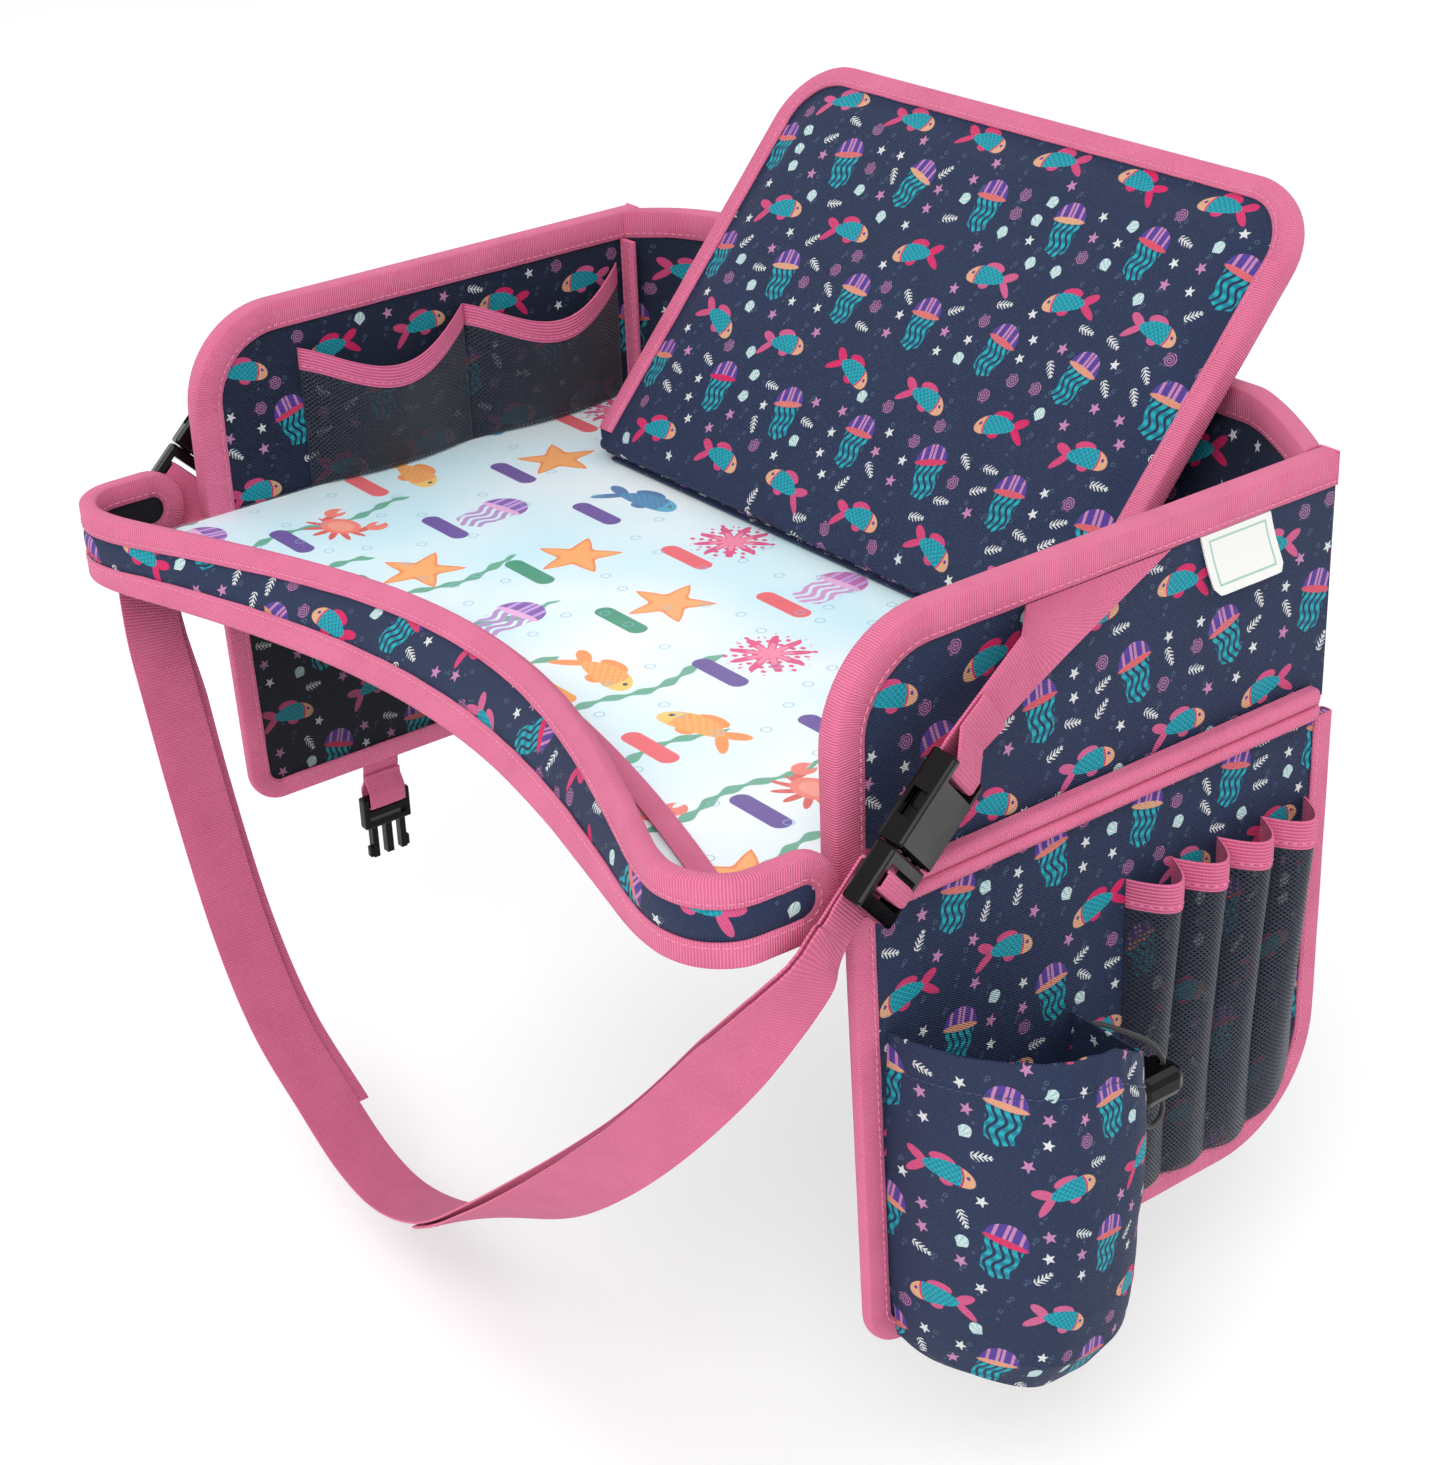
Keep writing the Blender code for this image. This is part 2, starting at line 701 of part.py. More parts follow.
def walls():
    tall = WALL_TOP - NOSE - WALL_FOOT
    long = TRAY_D - 2 * NOSE
    radius = WALL_CORNER_R

    def side_top(s):
        return tall - radius + math.sqrt(radius**2 - max(0, radius - s) ** 2)

    columns = arc_columns(radius) + [long]
    corners = [(0, 0, 0), (0, tall, radius), (long, tall, 0)]
    path = [(place, (-ds, -dh)) for place, (ds, dh) in edge_path(corners, long)]
    for name, side in (("right", 1), ("left", -1)):
        wall(name, side_surface(side), columns, side_top, path, (0, 1))
    columns = [INSIDE_X * (1 - math.cos(math.pi * i / 18)) for i in range(19)]
    path = [((s, tall), (0, -1)) for s in columns]
    upright = (tall - WALL_LEG) / tall
    wall("back", back_surface, columns, lambda s: tall, path, (0, upright / 2, upright, 1))


def corner_tapes():
    """Bound seams standing in the two inside back corners."""
    low, high = TRAY_TOP + GAP, WALL_TOP - WALL_LEG - NOSE
    face = INSIDE_Y
    for name, side in (("right", 1), ("left", -1)):
        outer = side * INSIDE_X
        mesh = box(
            (min(outer, outer - side * CORNER_TAPE_W), face - CORNER_TAPE_T, low),
            (max(outer, outer - side * CORNER_TAPE_W), face, high),
            CORNER_TAPE_T / 3,
        )
        put(f"{name}_corner_tape", mesh, PINK)


def seam_rolls():
    """The bound seam along the foot of each side wall: two small rolls, one over the other."""
    start = TRAY_W / 2 + GAP
    radius = SEAM_ROLL_H / 4
    middle = SEAM_ROLL_H / 2 - SEAM_ROLL_FOOT
    shape = []
    for centre in (middle + radius, middle - radius):
        for i in range(7):
            angle = math.radians(90 - 30 * i)
            shape.append((SEAM_ROLL_T - radius + radius * math.cos(angle) * 0.98, centre + radius * math.sin(angle) * 0.98))
    long = (SEAM_ROLL_FRONT - TRAY_D / 2, TRAY_D / 2 + SEAM_ROLL_BACK)
    for name, side in (("right", 1), ("left", -1)):
        front = [[Vector((side * (start + x), y, z)) for x, z in shape] for y in long]
        back = [[Vector((side * start, y, z)) for _, z in shape] for y in long]
        put(f"{name}_seam_roll", closed_sheet(front, back), PINK)


def net_pockets():
    """Net pockets with a sagging elastic edge inside the left wall."""
    face = WALL_STACK / 2 - SIDE_X + GAP
    low = TRAY_TOP + GAP
    ends = [share * TRAY_D / 2 for share in NET_END_SHARES]
    for name, start, end in zip(("front", "back"), ends, ends[1:]):
        start, end = start + GAP, end - GAP
        columns = spread(0, 1, 12)

        def top(u):
            return NET_TOP - NET_SAG * math.sin(math.pi * u) ** 1.3

        def bulge(u, v):
            return NET_BULGE * math.sin(math.pi * u) ** 0.8 * (0.45 + 0.55 * v)

        def surface(u, v, n, start=start, end=end):
            z = low + (top(u) - NET_BAND_H - GAP - low) * v
            return Vector((face + bulge(u, v) + n, start + (end - start) * u, z))

        def band(u, v, n, start=start, end=end):
            z = top(u) - NET_BAND_H * (1 - v)
            return Vector((face + bulge(u, 1) + n, start + (end - start) * u, z))

        put(f"{name}_net", slab(surface, columns, lambda u: 0, lambda u: 1, (0, 0.5, 1), 0, NET_T), NET)
        put(f"{name}_net_elastic", slab(band, columns, lambda u: 0, lambda u: 1, (0, 1), 0, NET_BAND_T), PINK)


def tag():
    """A blank folded tag that hangs from under the right wall's tape."""
    face, high = SIDE_X + WALL_STACK / 2 + GAP, WALL_TOP - WALL_LEG - NOSE - GAP

    def surface(y, v, n):
        return Vector((face + TAG_LIFT * v**2 + n, y, high - TAG_H * v))

    columns = spread(TAG_Y - TAG_W / 2, TAG_Y + TAG_W / 2, 2)
    put("blank_tag", slab(surface, columns, lambda y: 0, lambda y: 1, spread(0, 1, 4), 0, TAG_T), WHITE)


class Frame:
    """A buckle's own directions: w across it, t along it towards the strap, n out of its wide face."""

    def __init__(self, side, origin, pitch, turn):
        self.origin = Vector(origin)
        self.t = Vector((0, -math.cos(pitch), -math.sin(pitch)))
        lean = Vector((0, math.sin(pitch), -math.cos(pitch)))
        self.n = Vector((side * math.cos(turn), 0, 0)) + lean * math.sin(turn)
        self.w = self.t.cross(self.n)

    def at(self, w, t, n):
        return self.origin + self.w * w + self.t * t + self.n * n

    def matrix(self):
        turned = Matrix((self.w, self.t, self.n)).transposed()
        return Matrix.Translation(self.origin) @ turned.to_4x4()


def buckle_frame(side):
    return Frame(side, (side * BUCKLE_X, BUCKLE_Y, BUCKLE_Z), BUCKLE_PITCH, BUCKLE_TURN)


def female_mesh():
    """The socket half: a bar and slot for the webbing, an open socket and two side windows. t is along Y."""
    start, end = 0, FEMALE_L
    half, thick = BUCKLE_HALF_W, BUCKLE_T / 2
    body = box((-half, start, -thick), (half, end, thick), BUCKLE_ROUND)
    slot_end = BAR_L + SLOT_L
    cuts = [box((-SLOT_HALF_W, BAR_L, -thick - OVERRUN), (SLOT_HALF_W, slot_end, thick + OVERRUN))]
    for side in (1, -1):
        low, high = sorted((side * BAR_T / 2, side * (thick + OVERRUN)))
        cuts.append(box((-SLOT_HALF_W, -OVERRUN, low), (SLOT_HALF_W, BAR_L + GAP, high)))
        low, high = sorted((side * (SOCKET_HALF_W - OVERRUN), side * (half + OVERRUN)))
        window_half = SOCKET_T / 2 - GAP
        cuts.append(box((low, WINDOW_START, -window_half), (high, WINDOW_START + WINDOW_L, window_half)))
    socket = SOCKET_T / 2
    cuts.append(box((-SOCKET_HALF_W, SOCKET_START, -socket), (SOCKET_HALF_W, end + OVERRUN, socket)))
    return combined(body, cuts, "DIFFERENCE")


def male_mesh(barb=0):
    """The pronged half: two prongs and a guide on a frame with two webbing slots. t is along Y."""
    start = FEMALE_L + SIDE_CLEARANCE
    end = start + MALE_L
    half, thick = BUCKLE_HALF_W, MALE_T / 2
    frame = box((-half, start, -thick), (half, end, thick), BUCKLE_ROUND)
    prong = PRONG_T / 2
    tip_end = PRONG_START + PRONG_TIP_L
    adds = []
    for side in (1, -1):
        low, high = sorted((side * PRONG_IN, side * PRONG_OUT))
        adds.append(box((low, PRONG_START, -prong), (high, start + MALE_BARS[0] / 2, prong)))
        low, high = sorted((side * PRONG_IN, side * (PRONG_TIP + barb)))
        adds.append(box((low, PRONG_START + GAP, -prong + GAP), (high, tip_end, prong - GAP), PRONG_T / 5))
    adds.append(box((-GUIDE_HALF_W, PRONG_START + GAP, -prong), (GUIDE_HALF_W, start + MALE_BARS[0] / 2, prong)))
    solid = combined(frame, adds, "UNION")
    cuts, place = [], start + MALE_BARS[0]
    for bar in (MALE_BARS[1], 0):
        low, high = place, place + SLOT_L
        cuts.append(box((-SLOT_HALF_W, low, -thick - OVERRUN), (SLOT_HALF_W, high, thick + OVERRUN)))
        place = high + bar
    return combined(solid, cuts, "DIFFERENCE")


def male_slots():
    """Where the two slots of a male buckle begin, along t."""
    first = FEMALE_L + SIDE_CLEARANCE + MALE_BARS[0]
    return first, first + SLOT_L + MALE_BARS[1]


def waist_buckles():
    for name, side in (("right", 1), ("left", -1)):
        frame = buckle_frame(side)
        for half, mesh in (("female", female_mesh()), ("male", male_mesh())):
            mesh.transform(frame.matrix())
            put(f"{name}_buckle_{half}", mesh, PLASTIC, frame.origin)


def turn_round(centre, radius, start, end, steps=5):
    """Points of an arc in a buckle's (t, n) plane, by angles in degrees."""
    angles = [math.radians(a) for a in spread(start, end, steps)]
    return [(centre[0] + radius * math.cos(a), centre[1] + radius * math.sin(a)) for a in angles]


def anchor_webbing():
    """Webbing from under the wall's tape to the female buckle, round its bar and back over itself."""
    radius = WEBBING_T
    far = BAR_T / 2 + WEBBING_GAP + WEBBING_T / 2
    past = BAR_L + WEBBING_GAP + WEBBING_T / 2
    local = [(0, -far), *turn_round((past - radius, radius - far), radius, -90, 0, 3)]
    local += [*turn_round((past - radius, far - radius), radius, 0, 90, 3), (0, far)]
    for name, side in (("right", 1), ("left", -1)):
        frame = buckle_frame(side)
        wall_x = side * (SIDE_X + WALL_STACK / 2 + GAP + WEBBING_T / 2)
        start = Vector((wall_x, ANCHOR_Y, WALL_TOP - WALL_LEG - NOSE - GAP))
        low = frame.at(0, -ANCHOR_BEND_L, -far)
        way = (low - start).normalized()
        sign = math.copysign(1, frame.w.y)
        cut = Vector((0, sign / abs(way.z), 0))
        square = Vector((0, sign * abs(way.z), -sign * abs(way.y))).normalized()
        back = ANCHOR_RETURN_L / (low - start).length
        lead, returned = [(start, cut)], []
        for share in (ANCHOR_SQUARE_SHARE, 1 - back, 1 - back / 2, 1):
            place, across = start.lerp(low, share), square.lerp(frame.w, share).normalized()
            lead.append((place, across))
            if ANCHOR_SQUARE_SHARE < share < 1:
                returned.append((place + across.cross(way).normalized() * (WEBBING_T + WEBBING_GAP), across))
        bend = [(frame.at(0, t, n), frame.w) for t, n in local]
        centres, widths = zip(*lead, *bend, *reversed(returned))
        put(f"{name}_anchor_webbing", ribbon(centres, widths, WEBBING_W, WEBBING_T), PINK)


def strap():
    """One webbing: tail, round the left adjuster bar, the loop, round the right one, tail."""
    slot_1, slot_2 = male_slots()
    bar_start, bar_end = slot_1 + SLOT_L, slot_2
    thick = MALE_T / 2
    inner = thick + WEBBING_GAP + WEBBING_T / 2
    under = inner + WEBBING_T + WEBBING_GAP
    radius = WEBBING_T
    low_1 = bar_start - WEBBING_GAP - WEBBING_T / 2
    high_2 = bar_end + WEBBING_GAP + WEBBING_T / 2
    end = FEMALE_L + SIDE_CLEARANCE + MALE_L
    main = [(end + OVERRUN, -under), (bar_end, -under), (bar_start + radius, -under)]
    main += turn_round((low_1 + radius, radius - under), radius, -90, -180)
    main += turn_round((low_1 + radius, inner - radius), radius, 180, 90)
    main += turn_round((high_2 - radius, inner - radius), radius, 90, 0)
    main += turn_round((high_2 + radius, radius - inner), radius, -180, -90)
    main += [(end, -inner), (end + 2 * OVERRUN, -inner)]

    frames = [buckle_frame(1), buckle_frame(-1)]
    leads = [[frame.at(0, end + 2 * OVERRUN + more, -under) for more in (0, STRAP_LEAD)] for frame in frames]
    hung = [Vector((BUCKLE_X * share, -TRAY_D / 2 - y, z)) for share, ((y, z), _) in zip(STRAP_X_SHARES, STRAP_ROUTE)]
    points = [*leads[0], *hung, *leads[1][::-1]]
    ways = [-frames[0].w, -frames[0].w, *[Vector(w).normalized() for _, w in STRAP_ROUTE], frames[1].w, frames[1].w]
    line, turned = smooth_line(points, 6), smooth_line(ways, 6)
    along = [0]
    for a, b in zip(line, line[1:]):
        along.append(along[-1] + (b - a).length)
    count = round(along[-1] / STRAP_STEP)
    hang, widths = [], []
    for place in spread(0, along[-1], count):
        k = max(i for i in range(len(along) - 1) if along[i] <= place)
        share = (place - along[k]) / (along[k + 1] - along[k])
        ahead = (line[k + 1] - line[k]).normalized()
        across = turned[k].lerp(turned[k + 1], share)
        hang.append(line[k].lerp(line[k + 1], share))
        widths.append((across - ahead * across.dot(ahead)).normalized())

    def tail(from_right):
        order = range(count + 1) if from_right else range(count, -1, -1)
        chosen = order[1 : int((RIGHT_TAIL_SHARE if from_right else LEFT_TAIL_SHARE) * count)]
        places = []
        for k, i in enumerate(chosen):
            ahead = hang[min(i + 1, count)] - hang[max(i - 1, 0)]
            away = ahead.cross(widths[i]).normalized()
            lift = WEBBING_T + 2 * WEBBING_GAP + TAIL_LIFT * math.sin(math.pi * k / len(chosen)) ** 2
            places.append((hang[i] + away * lift, widths[i]))
        return places

    left = [(frames[1].at(0, t, n), frames[1].w) for t, n in main]
    right = [(frames[0].at(0, t, n), -frames[0].w) for t, n in main]
    loop = list(zip(hang, widths))[-2:0:-1]
    whole = tail(False)[::-1] + left[::-1] + loop + right + tail(True)
    centres, sides = zip(*whole)
    put("waist_strap", ribbon(centres, sides, WEBBING_W, WEBBING_T), PINK)


def panel():
    """The leaning tablet panel: padded front, board and back skin, taped on three sides."""
    axis = Vector((0, PANEL_Y, TRAY_TOP + PANEL_AXIS_RISE))
    wall_edge = WALL_TOP - NOSE - WALL_FOOT
    lean = 0
    for a, n in channel(WALL_STACK / 2 + GAP, WALL_LEG, TAPE_LIP)[0]:
        touch = back_surface(INSIDE_X - PANEL_W / 2, wall_edge + a, n) - axis
        reach = math.hypot(touch.y, touch.z)
        lean = max(lean, math.atan2(touch.z, touch.y) + math.asin((PANEL_HALF + GAP) / reach))
    up = Vector((0, math.cos(lean), math.sin(lean)))
    out = Vector((0, -math.sin(lean), math.cos(lean)))
    half_w = PANEL_W / 2 - NOSE
    tall = PANEL_L - NOSE

    def surface(s, h, n):
        return axis + Vector((s, 0, 0)) + up * h + out * n

    corner = [(half_w - c, tall - PANEL_R + math.sqrt(PANEL_R**2 - (PANEL_R - c) ** 2)) for c in arc_columns(PANEL_R)]

    def low(s):
        return max(0, abs(s) - (half_w - PANEL_FOOT_R))

    def high(s):
        for (a, high_a), (b, high_b) in zip(corner, corner[1:]):
            if abs(s) >= b:
                return high_b + (high_a - high_b) * (abs(s) - b) / (a - b)
        return tall

    def crown(s, h):
        along, above = max(0, abs(s) - half_w + PANEL_R), max(0, h - tall + PANEL_R)
        edge = min(half_w - abs(s), tall - h)
        if along and above:
            edge = PANEL_R - math.hypot(along, above)
        rise = min(1, max(0, edge - PANEL_LEG - PANEL_FLAT) / PANEL_CROWN_L)
        foot = min(1, max(0, h / PANEL_CROWN_L))
        return PANEL_STACK / 2 + PANEL_CROWN * math.sin(rise * math.pi / 2) * math.sin(foot * math.pi / 2)

    def columns(*more):
        right = [half_w - s for s in (*arc_columns(PANEL_R), *more)]
        return sorted([-s for s in right]) + sorted(right)

    middle = PANEL_STACK / 2
    board_top = middle - PANEL_PAD_T - GAP
    crown_start = PANEL_LEG + PANEL_FLAT
    steps = [crown_start, crown_start + PANEL_CROWN_L / 3, crown_start + PANEL_CROWN_L]
    rows = [0, *[s / tall for s in spread(0, PANEL_CROWN_L, 3)[1:]], 0.5]
    rows += [1 - s / tall for s in (*reversed(steps), PANEL_LEG, PANEL_LEG / 2, 0)]
    pad = slab(surface, columns(*steps, half_w / 2), low, high, rows, middle - PANEL_PAD_T, crown)
    origin = tuple(axis)
    put("panel_pad", pad, PRINT, origin)
    plain = columns()
    put("panel_board", slab(surface, plain, low, high, (0, 1), board_top - PANEL_BOARD_T, board_top), BOARD, origin)
    back = slab(surface, plain, lambda s: low(s) - PANEL_BACK_DROP, high, (0, 1), -middle, CLOTH_T - middle)
    put("panel_back", back, PRINT, origin)
    corners = [(half_w, PANEL_FOOT_R, 0), (half_w, tall, PANEL_R), (-half_w, tall, PANEL_R), (-half_w, PANEL_FOOT_R, 0)]
    put("panel_binding", edge_tape(surface, edge_path(corners, PANEL_L), middle + GAP, PANEL_LEG), PINK, origin)

    low_z = TRAY_TOP + GAP
    strip = box(
        (HINGE_STRIP_IN - half_w, PANEL_Y - HINGE_STRIP_FRONT, low_z),
        (half_w - HINGE_STRIP_IN, PANEL_Y + HINGE_STRIP_BACK, low_z + CLOTH_T),
    )
    put("panel_hinge_strip", strip, DARK)


def flap_surface(side):
    long = FLAP_BACK - FLAP_FRONT - 2 * NOSE

    def surface(s, h, n):
        lean = FLAP_LEAN * (1 - s / long) * (FLAP_AXIS_Z - h) / (FLAP_AXIS_Z - RIGHT_FLAP_BOTTOM)
        return Vector((side * (TRAY_W / 2 + n), FLAP_FRONT + NOSE + s + lean, h))

    return surface


def flap_outline(bottom, back_r):
    """The length of a flap's panel, and the height of its lower edge at each place along it."""
    long = FLAP_BACK - FLAP_FRONT - 2 * NOSE
    low = bottom + NOSE

    def foot(s):
        front = max(0, FLAP_FRONT_R - s)
        back = max(0, s - (long - back_r))
        lift = FLAP_FRONT_R - math.sqrt(max(0, FLAP_FRONT_R**2 - front**2))
        return low + lift + back_r - math.sqrt(max(0, back_r**2 - back**2))

    return long, low, foot


def flap(name, side, bottom, back_r):
    """A hanging side flap: padded outer panel, lining, and tape round its free edges."""
    surface = flap_surface(side)
    long, low, foot = flap_outline(bottom, back_r)
    top = FLAP_AXIS_Z + FLAP_TOP_RISE
    columns = arc_columns(FLAP_FRONT_R) + [long - s for s in reversed(arc_columns(back_r))]
    middle = FLAP_STACK / 2
    origin = (side * TRAY_W / 2, 0, FLAP_AXIS_Z)
    put(f"{name}_flap_panel", slab(surface, columns, foot, lambda s: top, (0, 1), middle - FLAP_PAD_T, middle), PRINT, origin)
    put(f"{name}_flap_lining", slab(surface, columns, foot, lambda s: top, (0, 1), -middle, CLOTH_T - middle), PRINT, origin)
    corners = [(0, top, 0), (0, low, FLAP_FRONT_R), (long, low, back_r), (long, top, 0)]
    path = edge_path(corners, long)
    put(f"{name}_flap_binding", edge_tape(surface, path, middle + GAP, FLAP_LEG), PINK, origin)


def pouch():
    """The bottle pouch: cloth that bulges from its two seams and closes under itself."""
    face = FLAP_FACE_X + GAP
    middle, half = (POUCH_FRONT + POUCH_BACK) / 2, (POUCH_BACK - POUCH_FRONT) / 2

    def mouth(u):
        if u < 0.5:
            return POUCH_MOUTH_MID + (POUCH_MOUTH_FRONT - POUCH_MOUTH_MID) * (1 - 2 * u) ** 2
        return POUCH_MOUTH_MID + (POUCH_MOUTH_BACK - POUCH_MOUTH_MID) * math.sin(math.pi * (u - 0.5)) ** 1.2

    outside = []
    for u in spread(0, 1, 18):
        angle = math.pi * u
        row = []
        for down, deep, sag in POUCH_SHARES:
            narrow = POUCH_GATHER_SHARE * (1 - down) ** 2 + POUCH_TAPER_SHARE * down**4
            y = middle - half * (1 - narrow) * math.cos(angle)
            z = mouth(u) + (POUCH_BOTTOM - mouth(u)) * down - POUCH_SAG * sag * math.sin(angle)
            clear = TAPE_T + GAP if z < RIGHT_FLAP_BOTTOM + 2 * FLAP_LEG else 0
            row.append(Vector((face + max(POUCH_DEPTH * math.sin(angle) * deep, clear), y, z)))
        outside.append(row)
    inside = []
    for i, row in enumerate(outside):
        before, after = outside[max(i - 1, 0)], outside[min(i + 1, len(outside) - 1)]
        thinned = []
        for j, at in enumerate(row):
            down = row[min(j + 1, len(row) - 1)] - row[max(j - 1, 0)]
            inward = (after[j] - before[j]).cross(down).normalized()
            thinned.append(at + inward * POUCH_T)
            thinned[-1].x = max(thinned[-1].x, face if at.x < face + TAPE_T else face + TAPE_T + GAP)
        inside.append(thinned)
    put("bottle_pouch", closed_sheet(outside, inside), PRINT, (TRAY_W / 2, 0, FLAP_AXIS_Z))


def marker_pockets():
    """A row of net pockets with one elastic edge, down to the flap's curved foot."""
    face = FLAP_FACE_X + GAP
    long, _, _ = flap_outline(RIGHT_FLAP_BOTTOM, RIGHT_FLAP_BACK_R)
    round_at = FLAP_FRONT + NOSE + long - RIGHT_FLAP_BACK_R
    inner_r = RIGHT_FLAP_BACK_R - FLAP_LEG - 2 * GAP
    origin = (TRAY_W / 2, 0, FLAP_AXIS_Z)
    columns = spread(MARKER_START, MARKER_END, MARKER_COUNT * 8)
    net_top = MARKER_TOP - MARKER_BAND_H - GAP

    def bulge(y, v):
        u = (y - MARKER_START) / (MARKER_END - MARKER_START) * MARKER_COUNT
        return MARKER_BULGE * abs(math.sin(math.pi * u)) ** 0.9 * (MARKER_FOOT_SHARE + (1 - MARKER_FOOT_SHARE) * v)

    def net(y, v, n):
        past = max(0, y - round_at)
        low = RIGHT_FLAP_BOTTOM + NOSE + RIGHT_FLAP_BACK_R - math.sqrt(inner_r**2 - past**2)
        return Vector((face + bulge(y, v) + n, y, low + (net_top - low) * v))

    def band(y, v, n):
        return Vector((face + bulge(y, 1) + n, y, MARKER_TOP - MARKER_BAND_H * (1 - v)))

    put("marker_net", slab(net, columns, lambda y: 0, lambda y: 1, (0, 0.3, 0.65, 1), 0, NET_T), NET, origin)
    put("marker_elastic", slab(band, columns, lambda y: 0, lambda y: 1, (0, 1), 0, MARKER_BAND_T), PINK, origin)


def clip_tabs():
    """Two short webbing tabs with the halves of a small clip: one under the left flap, one inside the right."""
    scale = Matrix.Scale(CLIP_SCALE_SHARE, 4)
    straight = math.radians(90)
    hem = LEFT_FLAP_BOTTOM - CLIP_PIVOT_DROP
    inside = TRAY_W / 2 - FLAP_STACK / 2 - GAP - BUCKLE_T * CLIP_SCALE_SHARE / 2 - WEBBING_T
    hang = FLAP_AXIS_Z - RIGHT_CLIP_DROP
    width = WEBBING_W * CLIP_SCALE_SHARE
    bar_far = (BAR_T / 2) * CLIP_SCALE_SHARE + WEBBING_GAP + WEBBING_T / 2
    radius = WEBBING_T
    near = (WEBBING_T + WEBBING_GAP) / 2
    sewn = TRAY_W / 2 - FLAP_STACK / 2 - GAP - WEBBING_T / 2 - inside
    for name, side, x, top, off in (("left", -1, -TRAY_W / 2, hem, 0), ("right", 1, inside, hang, sewn)):
        male = name == "left"
        mesh = male_mesh(CLIP_BARB) if male else female_mesh()
        bar_at = FEMALE_L + SIDE_CLEARANCE + MALE_L if male else 0
        frame = Frame(side, (x, CLIP_Y, top - CLIP_TAB_L), straight, 0)
        if male:
            mesh.transform(Matrix.Translation((0, -bar_at, 0)))
            mesh.transform(Matrix.Rotation(math.pi, 4, "Z"))
        mesh.transform(scale)
        mesh.transform(frame.matrix())
        origin = (x + off, CLIP_Y, top)
        put(f"{name}_clip_{'male' if male else 'female'}", mesh, PLASTIC, origin)
        bar_l = (MALE_L - MALE_BARS[0] - 2 * SLOT_L - MALE_BARS[1] if male else BAR_L) * CLIP_SCALE_SHARE
        thick = (MALE_T / 2 * CLIP_SCALE_SHARE + WEBBING_GAP + WEBBING_T / 2) if male else bar_far
        past = bar_l + WEBBING_GAP + WEBBING_T / 2
        middle = max(0, off - near)
        short, mid, low, high = [-CLIP_TAB_L * share for share in CLIP_TAB_SHARES]
        local = [(short, middle - near), (mid, middle - near), (low, -thick), (0, -thick)]
        local += turn_round((past - radius, radius - thick), radius, -90, 0, 3)
        local += turn_round((past - radius, thick - radius), radius, 0, 90, 3)
        local += [(0, thick), (low, thick), (mid, middle + near), (short, middle + near), (high, off), (-CLIP_TAB_L, off)]
        centres = [frame.at(0, t, n) for t, n in local]
        put(f"{name}_clip_webbing", ribbon(centres, [frame.w] * len(centres), width, WEBBING_T), PINK, origin)


def cord_lock():
    """A cord lock: a barrel with two cord holes and a slot, and the sprung plunger whose slots line up with them."""
    deep, long, tall = LOCK_W / 2, LOCK_L / 2, LOCK_H / 2
    cord_r = CORD_D / 2 + LOCK_CORD_PLAY
    through = LOCK_H / 2 + OVERRUN

    def cord_hole(side, more):
        y = side * LOCK_CORD_PITCH / 2
        low, high = (-cord_r - more, y - cord_r, -through), (cord_r, y + cord_r, through)
        return box(low, high, cord_r / 2)

    play = PLUNGER_PLAY
    slot_low = (-deep - OVERRUN, -PLUNGER_HALF_L - play, -PLUNGER_H / 2 - play)
    slot_high = (deep - LOCK_WALL, PLUNGER_HALF_L + play, PLUNGER_H / 2 + play)
    barrel = box((-deep, -long, -tall), (deep, long, tall), LOCK_ROUND)
    barrel = combined(barrel, [box(slot_low, slot_high), cord_hole(1, 0), cord_hole(-1, 0)], "DIFFERENCE")
    barrel.transform(Matrix.Translation(LOCK_AT))
    put("cord_lock_barrel", barrel, PLASTIC, (TRAY_W / 2, 0, FLAP_AXIS_Z))

    blade_low = (-deep - PLUNGER_OUT, -PLUNGER_HALF_L, -PLUNGER_H / 2)
    blade = box(blade_low, (PLUNGER_IN - deep, PLUNGER_HALF_L, PLUNGER_H / 2))
    head = round_bar(PLUNGER_HEAD_R, 0, PLUNGER_HEAD_T, 24, "Z")
    head.transform(Matrix.Rotation(math.radians(-90), 4, "Y"))
    head.transform(Matrix.Translation((GAP - deep - PLUNGER_OUT, 0, 0)))
    plunger = combined(blade, [head], "UNION")
    cuts = [cord_hole(side, PLUNGER_TRAVEL) for side in (1, -1)]
    plunger = combined(plunger, cuts, "DIFFERENCE")
    plunger.transform(Matrix.Translation(LOCK_AT))
    put("cord_lock_plunger", plunger, PLASTIC, LOCK_AT)


def tube(points, radius, resolution):
    """A round cord along the points, as a mesh."""
    curve = bpy.data.curves.new("cord", "CURVE")
    curve.dimensions, curve.bevel_depth, curve.bevel_resolution = "3D", radius, resolution
    curve.use_fill_caps = True
    spline = curve.splines.new("POLY")
    spline.points.add(len(points) - 1)
    for point, at in zip(spline.points, points):
        point.co = (*at, 1)
    holder = bpy.data.objects.new("cord", curve)
    bpy.context.scene.collection.objects.link(holder)
    bpy.context.view_layer.update()
    mesh = bpy.data.meshes.new_from_object(holder.evaluated_get(bpy.context.evaluated_depsgraph_get()))
    bpy.data.objects.remove(holder, do_unlink=True)
    made = bmesh.new()
    made.from_mesh(mesh)
    bmesh.ops.remove_doubles(made, verts=made.verts, dist=MERGE)
    made.to_mesh(mesh)
    made.free()
    return mesh


def drawcord():
    route = [(TRAY_W / 2 + x, y, z) for x, y, z in CORD_ROUTE]
    put("drawcord", tube(smooth_line(route, 3), CORD_D / 2, 2), CORD, (TRAY_W / 2, 0, FLAP_AXIS_Z))


